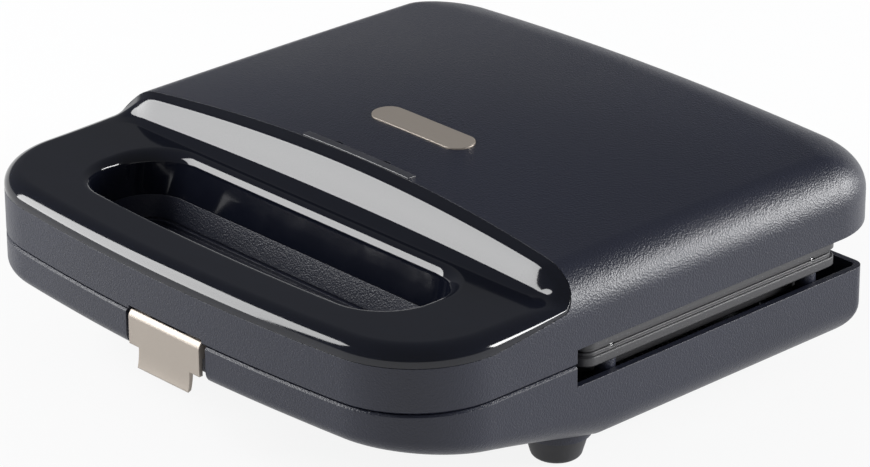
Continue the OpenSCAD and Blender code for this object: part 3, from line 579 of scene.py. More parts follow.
def fired_clay(name, colour, rough=0.6):
    """Unglazed ceramic or hard resin with a fine speckled body."""
    s = Shader(name)
    body = s.noise(1 / (0.7 * MM), 4.0, 0.6)
    base = s.mix(body.above(0.45, 0.2), rgb([c * 0.92 for c in colour]), rgb(colour))
    return s.finish(Base_Color=base, Roughness=body * 0.15 + (rough - 0.07),
                    Normal=s.bump(body, 0.6, 0.04, s.rounded(0.3)))


def tinted_lens(name, colour):
    """Tinted plastic window or lamp cap with a clear coat."""
    s = Shader(name)
    flow = s.noise(90.0, 2.0)
    ribs = s.noise(300.0, 1.0)
    base = s.mix(flow.above(0.4, 0.3), rgb(colour), rgb([min(1, c * 1.2) for c in colour]))
    return s.finish(Base_Color=base, Roughness=flow * 0.05 + 0.12, Coat_Weight=0.4,
                    Normal=s.bump(ribs, 0.2, 0.02, s.rounded(0.3)))


# ------------------------------------------------------------------ user settings
class ToasterFinish(bpy.types.PropertyGroup):
    """Colours and surface of the outer parts."""

    housing: bpy.props.FloatVectorProperty(
        name="Housing", description="Colour of the grained shells", subtype="COLOR",
        size=3, min=0, max=1, default=(0.0135, 0.0155, 0.028))
    trim: bpy.props.FloatVectorProperty(
        name="Grip trim", description="Colour of the polished grip trim", subtype="COLOR",
        size=3, min=0, max=1, default=(0.005, 0.006, 0.011))
    champagne: bpy.props.FloatVectorProperty(
        name="Latch and badge", description="Colour of the lacquered latch and badge",
        subtype="COLOR", size=3, min=0, max=1, default=(0.34, 0.30, 0.26))
    coating: bpy.props.FloatVectorProperty(
        name="Plate coating", description="Colour of the non-stick coating", subtype="COLOR",
        size=3, min=0, max=1, default=(0.045, 0.045, 0.048))
    grain: bpy.props.FloatProperty(
        name="Grain", description="Size of the shells' grain in millimetres", default=0.45,
        min=0.2, max=2.0)
    grain_depth: bpy.props.FloatProperty(
        name="Grain depth", description="Depth of the shells' grain in millimetres",
        default=0.17, min=0.0, max=0.5)
    housing_roughness: bpy.props.FloatProperty(
        name="Housing roughness", description="Roughness of the shells", default=0.36,
        min=0.0, max=1.0)


class ToasterShapes(bpy.types.PropertyGroup):
    """Fineness of the built shapes."""

    fillet_step: bpy.props.FloatProperty(
        name="Fillet step", description="Angle between rings of the fillets in degrees",
        default=4.5, min=1.0, max=15.0)
    edge_round: bpy.props.FloatProperty(
        name="Edge rounding", description="Rounding of the CAD nodes' edges in millimetres",
        default=0.25, min=0.05, max=1.0)


def finish_of(context):
    return context.scene.toaster_finish


def shapes_of(context):
    return context.scene.toaster_shapes


MATERIALS = {}


def material(name, make, *args, **kwargs):
    """A material of that name, made once."""
    if name not in MATERIALS:
        MATERIALS[name] = make(name, *args, **kwargs)
    return MATERIALS[name]


def housing_material(context):
    f = finish_of(context)
    return material("grained_plastic", moulded_plastic, list(f.housing),
                    f.housing_roughness, f.grain, f.grain_depth)


# ------------------------------------------------------------------ lid shell
def lid_rings(t, zs, step):
    """Skin of the lid, t millimetres inside the outer one, from the lowest ring up."""
    side_r, back_r = SIDE_FILLET - t, REAR_FILLET - t
    rr = LID_REAR_R
    rings = [at_z(outline(rr, t + inset, ry=LID_REAR_Y), z) for z, inset in zs]
    angles = np.arange(step, 90 + step / 2, step)
    angles[-1] = 90
    for a in angles:
        d, e = t + side_r * (1 - cosd(a)), t + back_r * (1 - cosd(a))
        p = outline(rr, d, d, e, LID_REAR_Y)
        rings.append(at_z(p, SEAM_Z + (crown(p[:, 0], p[:, 1]) - t - SEAM_Z) * sind(a)))
    q = outline(rr, t + side_r, t + side_r, t + back_r, LID_REAR_Y)
    for k in np.linspace(1, 0, CROWN_RINGS)[1:-1]:
        x, y = q[:, 0] * k, lerp(CROWN_MID_Y, q[:, 1], k)
        rings.append(np.c_[x, y, crown(x, y) - t])
    return rings


def mirror_tail(right, centre):
    """Mirror image of an outline's right half, from the point centre back to its start."""
    out = np.vstack([centre, right[:0:-1]])
    out[:, 0] *= -1
    return out


def trim_edge(g):
    """Outline of the grip trim, moved out by g: x, y, height of the seam, turn to slope."""
    cx, cy, a = bow_angle()
    tx = HW - TIP_TUCK - TIP_R
    sc = SEAM_Y - SEAM_R
    ty = sc + math.sqrt((SEAM_R - TIP_R) ** 2 - tx * tx)
    ta = 90 - math.degrees(math.asin(tx / (SEAM_R - TIP_R)))
    sweep = math.degrees(math.asin((tx + (TIP_R + g) * cosd(ta)) / (SEAM_R + g)))

    def flat(pts):
        return np.c_[pts, np.full(len(pts), SEAM_Z), np.zeros(len(pts))]

    front = flat(arc(0, FRONT_Y + BOW_R, BOW_R + g, BOW_R + g, 270 - a, 270 + a, NF))
    corner = flat(arc(cx, cy, CORNER_R + g, CORNER_R + g, 270 + a, 360, NC))
    i = np.arange(NT) / NT
    y = lerp(cy, ty, i)
    inset = TIP_TUCK * i ** TUCK_EASE
    side = np.c_[HW - inset + g, y, lid_z(HW - inset, y), np.zeros(NT)]
    b = ta * i
    x, yy = tx + TIP_R * cosd(b), ty + TIP_R * sind(b)
    tip = np.c_[tx + (TIP_R + g) * cosd(b), ty + (TIP_R + g) * sind(b), lid_z(x, yy),
                smooth(i)]
    b = lerp(90 - sweep, 90 + sweep, np.arange(NR) / NR)
    x, yy = SEAM_R * cosd(b), sc + SEAM_R * sind(b)
    seam = np.c_[(SEAM_R + g) * cosd(b), sc + (SEAM_R + g) * sind(b), lid_z(x, yy),
                 np.ones(NR)]
    right = np.vstack([corner, side, tip])
    return np.vstack([front, right, seam, mirror_tail(right, seam[0])])


def grip_line(w, fy, bow, cr, back, rr):
    """A rounded rectangle with a bowed front, point for point with the trim's outline."""
    cx, cy = corner_c(w, fy, bow, cr)
    a = math.degrees(math.asin(cx / (bow - cr)))
    right = np.vstack([
        arc(cx, cy, cr, cr, 270 + a, 360, NC),
        run([w, cy], [w, back - rr], NT),
        arc(w - rr, back - rr, rr, rr, 0, 90, NT)])
    return np.vstack([
        arc(0, fy + bow, bow, bow, 270 - a, 270 + a, NF), right,
        run([w - rr, back], [rr - w, back], NR), mirror_tail(right, (w - rr, back))])


def grip(z, g):
    """The grip opening at a height, widened by g. It narrows as it goes down."""
    u = float(clamp01((RING_Z - GRIP_ROUND - z) / (RING_Z - GRIP_ROUND - UPPER_Z)))
    w = GRIP_HW - GRIP_ROUND - GRIP_SIDE_LEAN * u + g
    f = GRIP_FRONT + GRIP_ROUND + GRIP_FRONT_LEAN * u - g
    b = GRIP_REAR - GRIP_ROUND - GRIP_LEAN * u + g
    r = GRIP_R - GRIP_ROUND - GRIP_R_LEAN * u + g
    rear = min(r, b - corner_c(w, f, GRIP_BOW, r)[1] - 2)
    return grip_line(w, f, GRIP_BOW, r, b, rear)


def grip_low(z):
    """The lower part of the grip opening, carried on in a straight line."""
    a, b = grip(UPPER_Z, 0), grip(GRIP_SEAM_Z, 0)
    return at_z(lerp(a, b, (z - UPPER_Z) / (GRIP_SEAM_Z - UPPER_Z)), z)


def trim_seat():
    """Space over the lid's front deck that the grip trim fills."""
    near, far = trim_edge(SEAM_GAP), trim_edge(1.0)
    inner, d = trim_edge(0.2 - WALL), trim_edge(0.0)
    turned = d[:, 3:4] > 0
    cut = np.where(turned, near, far)
    seat = d[:, 2] - TRIM_LIP - SLOPE_DEPTH * d[:, 3]
    return loft("tool", [
        at_z(inner, GRIP_SEAM_Z - 0.1), at_z(inner, seat - SEAT_STEP * d[:, 3]),
        at_z(cut, seat), at_z(cut, 110)])


def badge_slab(g, z0, z1):
    """Round-ended slab on the lid's top, g larger than the badge."""
    tilt = math.atan(float(crown(0, BADGE_Y + 1) - crown(0, BADGE_Y - 1)) / 2)
    n, h, q = 24, BADGE_HL - BADGE_W / 2, BADGE_W / 2 + g
    pts = np.vstack([arc(h, 0, q, q, -90, 90, n), [[h, q]],
                     arc(-h, 0, q, q, 90, 270, n), [[-h, -q]]])
    obj = prism("tool", pts, z0, z1)
    obj.data.transform(
        Matrix.Translation((0, BADGE_Y * MM, float(crown(0, BADGE_Y)) * MM))
        @ Matrix.Rotation(tilt, 4, "X"))
    return obj


def lens_band(g, z0, z1):
    """Slot along the seam for the indicator window, g larger than the window."""
    sc = SEAM_Y - SEAM_R
    a = math.degrees(math.asin((LENS_HL + g) / SEAM_R))
    r0 = SEAM_R + SEAM_GAP - (1 if g > 0 else 0)
    r1 = SEAM_R + SEAM_GAP + LENS_W + g
    b = np.linspace(90 - a, 90 + a, 48)
    pts = np.vstack([np.c_[r0 * cosd(b), sc + r0 * sind(b)],
                     np.c_[r1 * cosd(b), sc + r1 * sind(b)][::-1]])
    return prism("tool", pts, z0, z1)


LENS_TOP = float(crown(0.0, SEAM_Y)) + 0.3
LAMP_Y = SEAM_Y + SEAM_GAP + LENS_W / 2 + 0.4
EARS = [HINGE_X + s * (KNUCKLE_L / 2 + 0.3 + EAR_T / 2) - EAR_T / 2 for s in (-1, 1)]


def mirrored_block(s, x0, x1, y0, y1, z0, z1):
    xs = sorted((s * x0, s * x1))
    return block(*xs, y0, y1, z0, z1)


def lid_hollow(step):
    """Space inside the lid, less its screw bosses, hinge blocks and stiffening ribs."""
    body = loft("tool", lid_rings(WALL, [(40.0, 0), (SEAM_Z, 0)], step))
    carve(body, block(-HW, HW, DOME_Y, DOME_Y + 240, 0, 120), how="INTERSECT")
    tools = []
    for s in (1, -1):
        tools += [rod("z", BOSS_R, UPPER_Z + RIM_T, 110, (s * SCREW_X, y)) for y in SCREW_YS]
        tools += [mirrored_block(s, x, x + EAR_T, HINGE_Y - KNUCKLE_R, HINGE_Y + 36,
                                 HINGE_Z, HINGE_Z + 17) for x in EARS]
    tools += [block(-86, 86, y, y + 2, 72.6, 92.6) for y in (-3, 57)]
    return carve(body, *tools)


def make_lid_shell(step):
    lid = loft("lid_shell", lid_rings(
        0, [(UPPER_Z - 2, EDGE_C + 2), (UPPER_Z + EDGE_C, 0), (SEAM_Z, 0)], step))
    carve(lid, block(-WIDE, WIDE, -WIDE, WIDE, 0, UPPER_Z), trim_seat(), lid_hollow(step),
          block(-WIDE, WIDE, BAY_Y, DEEP, 0, SKIRT_Z),
          loft("tool", [grip_low(UPPER_Z - 6), at_z(grip(GRIP_SEAM_Z, 0), GRIP_SEAM_Z)]))
    space = prism("tool", outline(LID_REAR_R, WALL, ry=LID_REAR_Y), UPPER_Z + WALL,
                  GRIP_SEAM_Z + 0.1)
    carve(space, prism("tool", grip(GRIP_SEAM_Z, WALL), 0, TALL),
          block(-WIDE, WIDE, BAY_Y - WALL, DEEP, 0, TALL),
          block(-LUG_HW - 3, LUG_HW + 3, FRONT_Y - 1, FRONT_Y + 11, 0, TALL))
    carve(lid, space,
          block(-LATCH_HW - 0.6, LATCH_HW + 0.6, FRONT_Y - 5, NOTCH_Y, 0, RELIEF_Z),
          badge_slab(0.15, -0.5, 5), lens_band(0.1, LENS_TOP - 1.6, TALL),
          *both(lambda s: rod("z", LAMP_HOLE_R, 60, 90, (LAMP_X * s, LAMP_Y))))
    carve(lid, rod("x", LUG_R, -LUG_HW, LUG_HW, (LATCH_Y, LATCH_Z)),
          block(-LUG_HW, LUG_HW, LATCH_Y + 0.6, LATCH_Y + 2.8, LATCH_Z, RELIEF_Z + 0.4),
          how="UNION")
    for s in (1, -1):
        for x in EARS:
            xs = sorted((s * x, s * (x + EAR_T)))
            carve(lid, rod("x", KNUCKLE_R, *xs, (HINGE_Y, HINGE_Z)),
                  block(*xs, HINGE_Y - KNUCKLE_R, HINGE_Y + KNUCKLE_R, HINGE_Z, SKIRT_Z + 1),
                  how="UNION")
    carve(lid, rod("x", LATCH_PIN_R + LATCH_PLAY, -30, 30, (LATCH_Y, LATCH_Z)),
          *both(lambda s: rod("x", PIN_R + EAR_PLAY, s * HINGE_X - 20, s * HINGE_X + 20,
                              (HINGE_Y, HINGE_Z))),
          *[rod("z", PILOT_R, UPPER_Z - 1, UPPER_Z + RIM_T + 10, (s * SCREW_X, y))
            for s in (1, -1) for y in SCREW_YS])
    return set_shading(lid)


# ------------------------------------------------------------------ grip trim
# The slope's profile: share of its run, and of its drop, at each corner.
SLOPE_AT = (-0.36, 0.0, 0.36, 0.62, 1.0, 1.38)
SLOPE_DROP = (-0.12, 0.0, 0.12, 0.80, 1.0, 1.20)
SLOPE_BLUR = (-0.06, -0.03, 0, 0.03, 0.06)
# Where the rings lie on the slope. On the bevel they lie at equal angles.
SLOPE_RINGS = [0, 0.14, 0.28, 0.44, 0.62, 0.80, 1]


def skin(w, m):
    """Share of the drop from outline to ring edge, for the bevel (0) and slope (1)."""
    slope = np.mean([np.interp(w + k, SLOPE_AT, SLOPE_DROP) for k in SLOPE_BLUR], axis=0)
    return lerp(np.sqrt(1 - (1 - w) ** 2), slope, m)


def make_grip_trim():
    """Rings run from the lower edge over bevel or slope, through the opening and back."""
    d, di = trim_edge(0.0), trim_edge(0.2 - TRIM_T)
    e = grip_line(HW - BEVEL, FRONT_Y + BEVEL, BOW_R - BEVEL, CORNER_R - BEVEL, FOOT_Y, 10)
    o1 = grip_line(GRIP_HW, GRIP_FRONT, GRIP_BOW, GRIP_R, GRIP_REAR, GRIP_R - 5)
    zr = RING_Z - GRIP_ROUND
    o2, o3 = grip(zr, 0), grip(GRIP_SEAM_Z, 0)
    o3w, o2w = grip(GRIP_SEAM_Z, TRIM_T), grip(zr, TRIM_T)
    m = d[:, 3:4]
    z0 = d[:, 2:3] + 1 - m
    rings = [np.hstack([d[:, :2], d[:, 2:3] + TRIM_LIP - SLOPE_EDGE * m])]
    for j in np.linspace(0, 6, 25):
        t = clamp01(lerp(1 - cosd(15 * j), np.interp(j, range(7), SLOPE_RINGS), m))
        rings.append(np.hstack([lerp(d[:, :2], e, t), lerp(z0, RING_Z, skin(t, m))]))
    rings += [at_z(lerp(e, o1, k), RING_Z) for k in (0.5, 1.0)]
    rings += [at_z(lerp(o1, o2, sind(b)), RING_Z - GRIP_ROUND * (1 - cosd(b)))
              for b in np.linspace(0, 90, 13)[1:]]
    rings += [at_z(lerp(o2, o3, k), lerp(zr, GRIP_SEAM_Z, k)) for k in (0.33, 0.67, 1.0)]
    rings += [at_z(o3w, GRIP_SEAM_Z), at_z(o2w, zr - 0.5),
              at_z(lerp(e, o1, 0.35), RING_Z - TRIM_T)]
    for t in (0.62, 0.36):
        rings.append(np.hstack([lerp(d[:, :2], e, t),
                                lerp(z0, RING_Z, skin(t, m)) - TRIM_T - 0.3]))
    rings.append(np.hstack([di[:, :2], d[:, 2:3] + TRIM_LIP - SLOPE_DEPTH * m]))
    sections = [np.array([r[i] for r in rings]) for i in range(len(d))]
    return set_shading(ring_loft("grip_trim", sections), weld=0.001)


# ------------------------------------------------------------------ base shell
def low_ring(a):
    """Ring on the base's lower rounding, a degrees down from the wall."""
    rr = BASE_REAR_R + LOWER_R * (1 - cosd(a))
    p, q = outline(rr, 0), outline(rr, 1)
    r = lower_round(p[:, 1])
    v = lerp(p, q, (r * (1 - cosd(a)))[:, None])
    return np.c_[v, under(v[:, 1]) + r * (1 - sind(a))]


# Turns a prism over (y, z) points so that it runs along X.
ALONG_X = Matrix(((0, 0, 1, 0), (1, 0, 0, 0), (0, 1, 0, 0), (0, 0, 0, 1)))


def base_hollow():
    """Space inside the base, less its ribs, screw bosses and foot bosses."""
    well = prism("tool", outline(BASE_REAR_R, WALL), FLOOR_IN_Z + 7, FLOOR_IN_Z + 67)
    carve(well, block(-HW, HW, BAY_Y + WALL, BAY_Y + WALL + 220.5, 0, TALL), how="INTERSECT")
    ys = np.arange(-104, -39, 8.0)
    pts = [(y, float(under(y)) + 3) for y in ys] + [
        (BAY_Y + WALL + 1, float(under(BAY_Y)) + 3), (BAY_Y + WALL + 1, RIM_Z - 3),
        (BAY_Y - WALL, RIM_Z - 3), (BAY_Y - WALL, LOWER_Z - 3.4), (-104, LOWER_Z - 3.4)]
    deck = prism("tool", pts, -HW + 12, HW - 12)
    deck.data.transform(ALONG_X)
    carve(deck, prism("tool", outline(BASE_REAR_R, 8), 0, TALL), how="INTERSECT")
    carve(well, block(-HW + 10, HW - 10, BAY_Y + 8, REAR_Y - 11, FLOOR_IN_Z, FLOOR_IN_Z + 20),
          block(BLOCK_X - 16, BLOCK_X + 16, REAR_Y - 20, REAR_Y - WALL, FLOOR_IN_Z,
                FLOOR_IN_Z + 20), deck, how="UNION")
    tools = [block(x - 0.8, x + 0.8, BAY_Y + 10, BAY_Y + 110, 0, FLOOR_IN_Z + 2.5)
             for x in range(-60, 61, 40)]
    for s in (1, -1):
        tools += [rod("z", BOSS_R, 0, 60, (s * SCREW_X, y)) for y in SCREW_YS]
        tools += [rod("z", FOOT_BOSS_R, 0, FLOOR_IN_Z + 5, (s * x, y)) for x, y in FEET]
    return carve(well, *tools)


def make_base_shell(step):
    q = low_ring(90)
    rings = [np.c_[q[:, 0] * k, q[:, 1] * k, under(q[:, 1] * k)]
             for k in np.linspace(0, 1, 14)[1:-1]]
    rings += [low_ring(a) for a in np.arange(90, -0.1, -step * 2)]
    rings += [at_z(outline(BASE_REAR_R, 0), LOWER_Z - EDGE_C),
              at_z(outline(BASE_REAR_R, EDGE_C + 2), LOWER_Z + 2)]
    base = loft("base_shell", rings)
    carve(base, block(-WIDE, WIDE, -WIDE, WIDE, LOWER_Z, TALL), base_hollow(),
          block(-WIDE, WIDE, BAY_Y, DEEP, RIM_Z, TALL),
          prism("tool", grip(UPPER_Z, -1.2), LOWER_Z - FLOOR_DROP, 60),
          block(-NOTCH_HW, NOTCH_HW, FRONT_Y - 10, NOTCH_Y, 0, TALL),
          block(-8.1, 8.1, NOTCH_Y - 1, NOTCH_Y + 4.1, HOOK_Z + 0.3, HOOK_Z + 1.7))
    for s in (1, -1):
        parts = [rod("z", BOSS_R, RIM_Z - 1, LOWER_Z - RIM_T, (s * SCREW_X, y))
                 for y in SCREW_YS]
        xs = sorted((s * (HINGE_X - KNUCKLE_L / 2), s * (HINGE_X + KNUCKLE_L / 2)))
        bracket = prism("tool", [
            (REAR_Y - WALL / 2, HINGE_Z - 20), (REAR_Y, HINGE_Z - 20),
            (HINGE_Y + KNUCKLE_R * 0.93, HINGE_Z - KNUCKLE_R * 0.3), (HINGE_Y, HINGE_Z + 1),
            (HINGE_Y - KNUCKLE_R * 0.99, HINGE_Z), (REAR_Y - WALL / 2, RIM_Z - 1)], *xs)
        bracket.data.transform(ALONG_X)
        parts.append(bracket)
        parts.append(rod("x", KNUCKLE_R, *xs, (HINGE_Y, HINGE_Z)))
        parts += [rod("z", FOOT_R + 1, PAD_Z, PAD_Z + 5, (s * x, y)) for x, y in FEET]
        carve(base, *parts, how="UNION")
        carve(base, rod("x", PIN_R + PIN_FIT, s * HINGE_X - 20, s * HINGE_X + 20,
                        (HINGE_Y, HINGE_Z)),
              *[rod("z", PILOT_R, LOWER_Z - RIM_T - 10, LOWER_Z - RIM_T + 2, (s * SCREW_X, y))
                for y in SCREW_YS],
              *[rod("z", FOOT_STUD_R, -1, PAD_Z + 3, (s * x, y)) for x, y in FEET])
    carve(base, rod("y", BUSH_HOLE_R, REAR_Y - 8, REAR_Y + 12, (BUSH_X, BUSH_Z)))
    return set_shading(base)


# ------------------------------------------------------------------ plates
def round_rect(x, y, r):
    """Rectangle of half sizes x and y with rounded corners."""
    n = 10
    return np.vstack([arc(x - r, y - r, r, r, 0, 90, n), [[x - r, y]],
                      arc(r - x, y - r, r, r, 90, 180, n), [[-x, y - r]],
                      arc(r - x, r - y, r, r, 180, 270, n), [[r - x, -y]],
                      arc(x - r, r - y, r, r, 270, 360, n), [[x, r - y]]])


def ball(c, r):
    """Points on a ball."""
    n = 20
    out = []
    for i in range(n // 2 + 1):
        a = 180 * i / (n // 2)
        for j in range(n):
            b = 360 * j / n
            out.append((c[0] + r * sind(a) * cosd(b), c[1] + r * sind(a) * sind(b),
                        c[2] + r * cosd(a)))
    return out


def pocket(p, cx):
    """Triangular sandwich pocket with sloping walls, open at the face."""
    p = np.array(p) + (cx, MID_Y)
    bottom = lerp(p.mean(0), p, 1 - POCKET_RUN / POCKET_REACH)
    pts = [(*q, -0.01) for q in p]
    for q in bottom:
        pts += ball((q[0], q[1], POCKET_D - POCKET_R), POCKET_R)
    return hull(pts)


def make_plate(name, lid_side):
    """Plate with a rim, a dish behind it and four pockets, face at z = 0 to begin with."""
    px, py = (DISH_X - 4) / 2, DISH_Y - 3
    hx, hy = PLATE_W / 2, (PLATE_REAR - PLATE_FRONT) / 2

    def layer(x, y, r, z):
        return at_z(round_rect(x, y, r) + (0, MID_Y), z)

    edge = 0.5
    plate = loft(name, [
        layer(hx - 1.2, hy - 1.2, 4.3, 0), layer(hx - 1, hy - 1, 4.5, 0.2),
        layer(hx - 1, hy - 1, 4.5, 1.2), layer(hx - 0.3, hy - 0.3, 4.8, 1.2),
        layer(hx, hy, 5, 1.5), layer(hx, hy, 5, RIM_T - edge),
        layer(hx - edge, hy - edge, 4.6, RIM_T), layer(DISH_X, DISH_Y, 10, RIM_T),
        layer(DISH_X, DISH_Y, 10, DISH_D - 1), layer(DISH_X - 1, DISH_Y - 1, 9, DISH_D)])
    a, r = px - 1, RIDGE / 2 * 1.41
    tools = []
    for s in (-1, 1):
        cx = s * (px + LAND / 2)
        tools.append(pocket([[-a, -py + r * 1.4], [-a, py], [a - r * 1.4, py]], cx))
        tools.append(pocket([[a, py - r * 1.4], [a, -py], [-a + r * 1.4, -py]], cx))
        for y in SCREW_YS:
            tools.append(rod("z", CLEAR_R, -1, RIM_T + 1, (s * SCREW_X, y)))
            tools.append(rod("z", HEAD_R, -0.01, 1.89, (s * SCREW_X, y), r_end=CLEAR_R))
    carve(plate, *tools)
    if lid_side:
        plate.data.transform(Matrix.Translation((0, 0, UPPER_Z * MM)))
    else:
        plate.data.transform(Matrix.Translation((0, 0, LOWER_Z * MM))
                             @ Matrix.Diagonal((1, 1, -1, 1)))
        face_outwards(plate)
    return set_shading(plate, 28.0)


# ------------------------------------------------------------------ operators
class TOASTER_OT_stage(bpy.types.Operator):
    """Camera, floor, soft studio light and world."""

    bl_idname = "toaster.stage"
    bl_label = "Stage"

    def execute(self, context):
        scene = context.scene
        scene.view_settings.view_transform = "Standard"
        self.camera(scene)
        self.floor(context)
        self.world(scene)
        for lamp in LAMPS:
            self.lamp(scene, *lamp)
        return {"FINISHED"}

    @staticmethod
    def camera(scene):
        az, el = math.radians(CAM_AZ), math.radians(CAM_EL)
        back = Vector((math.sin(az) * math.cos(el), -math.cos(az) * math.cos(el),
                       math.sin(el)))
        cam = bpy.data.objects.new("camera", bpy.data.cameras.new("camera"))
        scene.collection.objects.link(cam)
        cam.location = Vector(CAM_TARGET) + back * CAM_DIST
        cam.rotation_mode = "QUATERNION"
        cam.rotation_quaternion = (-back).to_track_quat("-Z", "Y")
        width, height = FRAME_PX
        cam.data.sensor_width = SENSOR
        cam.data.lens = FOCAL_PX * SENSOR / width
        cam.data.shift_x = -(CENTRE_PX[0] - width / 2) / width
        cam.data.shift_y = (CENTRE_PX[1] - height / 2) / width
        cam.data.clip_start, cam.data.clip_end = 0.05, 20
        scene.camera = cam

    @staticmethod
    def floor(context):
        bpy.ops.mesh.primitive_grid_add(x_subdivisions=8, y_subdivisions=8, size=6)
        floor = context.active_object
        floor.name = "floor"
        s = Shader("pale_floor")
        paths = s.node("ShaderNodeLightPath")
        seen = (paths["Is Camera Ray"] + paths["Is Glossy Ray"]
                + paths["Is Transmission Ray"]).clamped()
        cloud = s.noise(3.0, 2.0)
        diffuse = s.node("ShaderNodeBsdfDiffuse", None, {
            "Color": s.mix(cloud, (0.86, 0.86, 0.87, 1), (0.90, 0.90, 0.90, 1))})
        glow = s.node("ShaderNodeEmission", None, {"Color": (1, 1, 1, 1), "Strength": 1.0})
        mixed = s.node("ShaderNodeMixShader", None,
                       {0: seen * 0.88, 1: diffuse[0], 2: glow[0]})
        s.node("ShaderNodeOutputMaterial", None, {"Surface": mixed[0]})
        floor.data.materials.append(s.mat)

    @staticmethod
    def world(scene):
        """White behind the part. Mirrored it is white round the horizon and dark above."""
        scene.world = bpy.data.worlds.new("studio")
        w = Shader(world=scene.world)
        paths = w.node("ShaderNodeLightPath")
        mirrored = (paths["Is Glossy Ray"] + paths["Is Transmission Ray"]).clamped()
        height = w.node("ShaderNodeSeparateXYZ", None, [w.node("ShaderNodeTexCoord")[0]])[2]
        seen = (paths["Is Camera Ray"] + mirrored * (1 - height.above(0.04, 0.10))).clamped()
        white, room, dim = [
            w.node("ShaderNodeBackground", None, {"Color": colour, "Strength": strength})
            for colour, strength in (((1, 1, 1, 1), 1.0), ((0.93, 0.95, 1.0, 1), 0.28),
                                     ((0.93, 0.95, 1.0, 1), 0.16))]
        around = w.node("ShaderNodeMixShader", None, {0: mirrored, 1: room[0], 2: dim[0]})
        mixed = w.node("ShaderNodeMixShader", None, {0: seen, 1: around[0], 2: white[0]})
        w.node("ShaderNodeOutputWorld", None, {"Surface": mixed[0]})

    @staticmethod
    def lamp(scene, name, at, aim, size, watts):
        data = bpy.data.lights.new(name, "AREA")
        data.shape, data.size, data.size_y, data.energy = "RECTANGLE", *size, watts
        obj = bpy.data.objects.new(name, data)
        scene.collection.objects.link(obj)
        obj.location = at
        obj.rotation_euler = (Vector(aim) - Vector(at)).to_track_quat("-Z", "Y").to_euler()


class TOASTER_OT_lid_shell(bpy.types.Operator):
    """Crowned lid with its fillets, seat for the trim, hinge ears and latch lug."""

    bl_idname = "toaster.lid_shell"
    bl_label = "Lid shell"

    def execute(self, context):
        lid = make_lid_shell(shapes_of(context).fillet_step)
        paint(lid, housing_material(context), "housing")
        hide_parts("upper_shell")
        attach(lid, "lid")
        return {"FINISHED"}


class TOASTER_OT_base_shell(bpy.types.Operator):
    """Base tray with its rounded underside, notch for the latch and hinge knuckles."""

    bl_idname = "toaster.base_shell"
    bl_label = "Base shell"

    def execute(self, context):
        base = make_base_shell(shapes_of(context).fillet_step)
        paint(base, housing_material(context), "housing")
        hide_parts("lower_shell")
        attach(base, "base")
        return {"FINISHED"}


class TOASTER_OT_grip_trim(bpy.types.Operator):
    """Polished ring round the grip opening, with bevel, slope and rolled inner edge."""

    bl_idname = "toaster.grip_trim"
    bl_label = "Grip trim"

    def execute(self, context):
        trim = make_grip_trim()
        paint(trim, material("polished_plastic", gloss_plastic,
                             list(finish_of(context).trim)), "gloss_trim")
        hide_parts("handle_trim")
        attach(trim, "lid")
        return {"FINISHED"}


class TOASTER_OT_plates(bpy.types.Operator):
    """Upper and lower sandwich plates with their triangular pockets."""

    bl_idname = "toaster.plates"
    bl_label = "Plates"

    def execute(self, context):
        mat = material("nonstick_coating", coated_casting,
                       list(finish_of(context).coating), 0.38)
        for name, node, body, lid_side in (
                ("top_sandwich_plate", "upper_plate", "lid", True),
                ("bottom_sandwich_plate", "lower_plate", "base", False)):
            plate = make_plate(name, lid_side)
            paint(plate, mat, "nonstick")
            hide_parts(node)
            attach(plate, body)
        return {"FINISHED"}


class TOASTER_OT_latch_and_badge(bpy.types.Operator):
    """Lacquered drop latch and bare badge plate."""

    bl_idname = "toaster.latch_and_badge"
    bl_label = "Latch and badge"

    def execute(self, context):
        mat = material("champagne_lacquer", pearl_lacquer, list(finish_of(context).champagne))
        for name, width in (("latch", 0.45), ("nameplate", 0.2)):
            paint(soften(NODES[name], width, 3), mat)
        return {"FINISHED"}


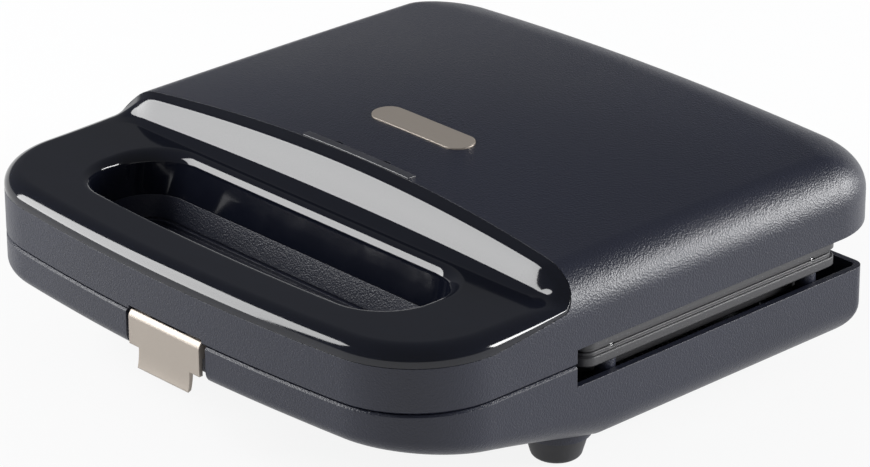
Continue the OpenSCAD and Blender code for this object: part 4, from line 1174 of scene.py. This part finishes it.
class TOASTER_OT_fittings(bpy.types.Operator):
    """Lamps, screws, elements, shields, pins, feet and wiring parts."""

    bl_idname = "toaster.fittings"
    bl_label = "Fittings"

    def execute(self, context):
        edge = shapes_of(context).edge_round
        steel = material("zinc_steel", worked_metal, (0.62, 0.62, 0.63), 0.34)
        dark = material("oxidised_sheath", worked_metal, (0.24, 0.22, 0.21), 0.5)
        bright = material("rolled_sheet", worked_metal, (0.66, 0.67, 0.69), 0.26)
        clay = material("steatite", fired_clay, (0.74, 0.71, 0.63))
        resin = material("cream_resin", fired_clay, (0.66, 0.63, 0.54), 0.45)
        rubber = material("foot_rubber", soft_rubber, (0.016, 0.016, 0.019))
        smoke = material("smoked_window", tinted_lens, (0.030, 0.031, 0.038))
        red = material("red_lamp", tinted_lens, (0.48, 0.06, 0.04))
        green = material("green_lamp", tinted_lens, (0.07, 0.32, 0.09))
        for mat, width, names in (
                (steel, 0.15, ("upper_plate_screws", "lower_plate_screws", "latch_pin",
                               "hinge_pins")),
                (dark, 0.15, ("upper_heater", "lower_heater")),
                (bright, 0.1, ("upper_heater_clamps", "lower_heater_clamps",
                               "upper_heat_shield", "lower_heat_shield", "latch_catch")),
                (clay, edge, ("thermostat", "terminal_block")),
                (resin, edge, ("lamp_holder", "thermal_fuse")),
                (rubber, edge, ("cord_bush", "front_feet", "rear_feet")),
                (smoke, 0.15, ("indicator_lens",)),
                (red, 0.1, ("power_lamp",)),
                (green, 0.1, ("ready_lamp",))):
            for name in names:
                paint(soften(NODES[name], width), mat)
        return {"FINISHED"}


class TOASTER_PT_panel(bpy.types.Panel):
    """Lists the pieces and their settings."""

    bl_label = "Sandwich toaster"
    bl_idname = "TOASTER_PT_panel"
    bl_space_type = "VIEW_3D"
    bl_region_type = "UI"
    bl_category = "Toaster"

    def draw(self, context):
        for op in STEPS:
            self.layout.operator(op.bl_idname)
        for group in (finish_of(context), shapes_of(context)):
            for key in group.bl_rna.properties.keys():
                if key not in ("rna_type", "name"):
                    self.layout.prop(group, key)


STEPS = (TOASTER_OT_stage, TOASTER_OT_lid_shell, TOASTER_OT_base_shell, TOASTER_OT_grip_trim,
         TOASTER_OT_plates, TOASTER_OT_latch_and_badge, TOASTER_OT_fittings)
CLASSES = (ToasterFinish, ToasterShapes, *STEPS, TOASTER_PT_panel)


def register():
    for c in CLASSES:
        bpy.utils.register_class(c)
    bpy.types.Scene.toaster_finish = bpy.props.PointerProperty(type=ToasterFinish)
    bpy.types.Scene.toaster_shapes = bpy.props.PointerProperty(type=ToasterShapes)


def unregister():
    del bpy.types.Scene.toaster_finish
    del bpy.types.Scene.toaster_shapes
    for c in reversed(CLASSES):
        bpy.utils.unregister_class(c)


def main():
    register()
    for step in STEPS:
        group, name = step.bl_idname.split(".")
        getattr(getattr(bpy.ops, group), name)()


if __name__ == "__main__":
    main()
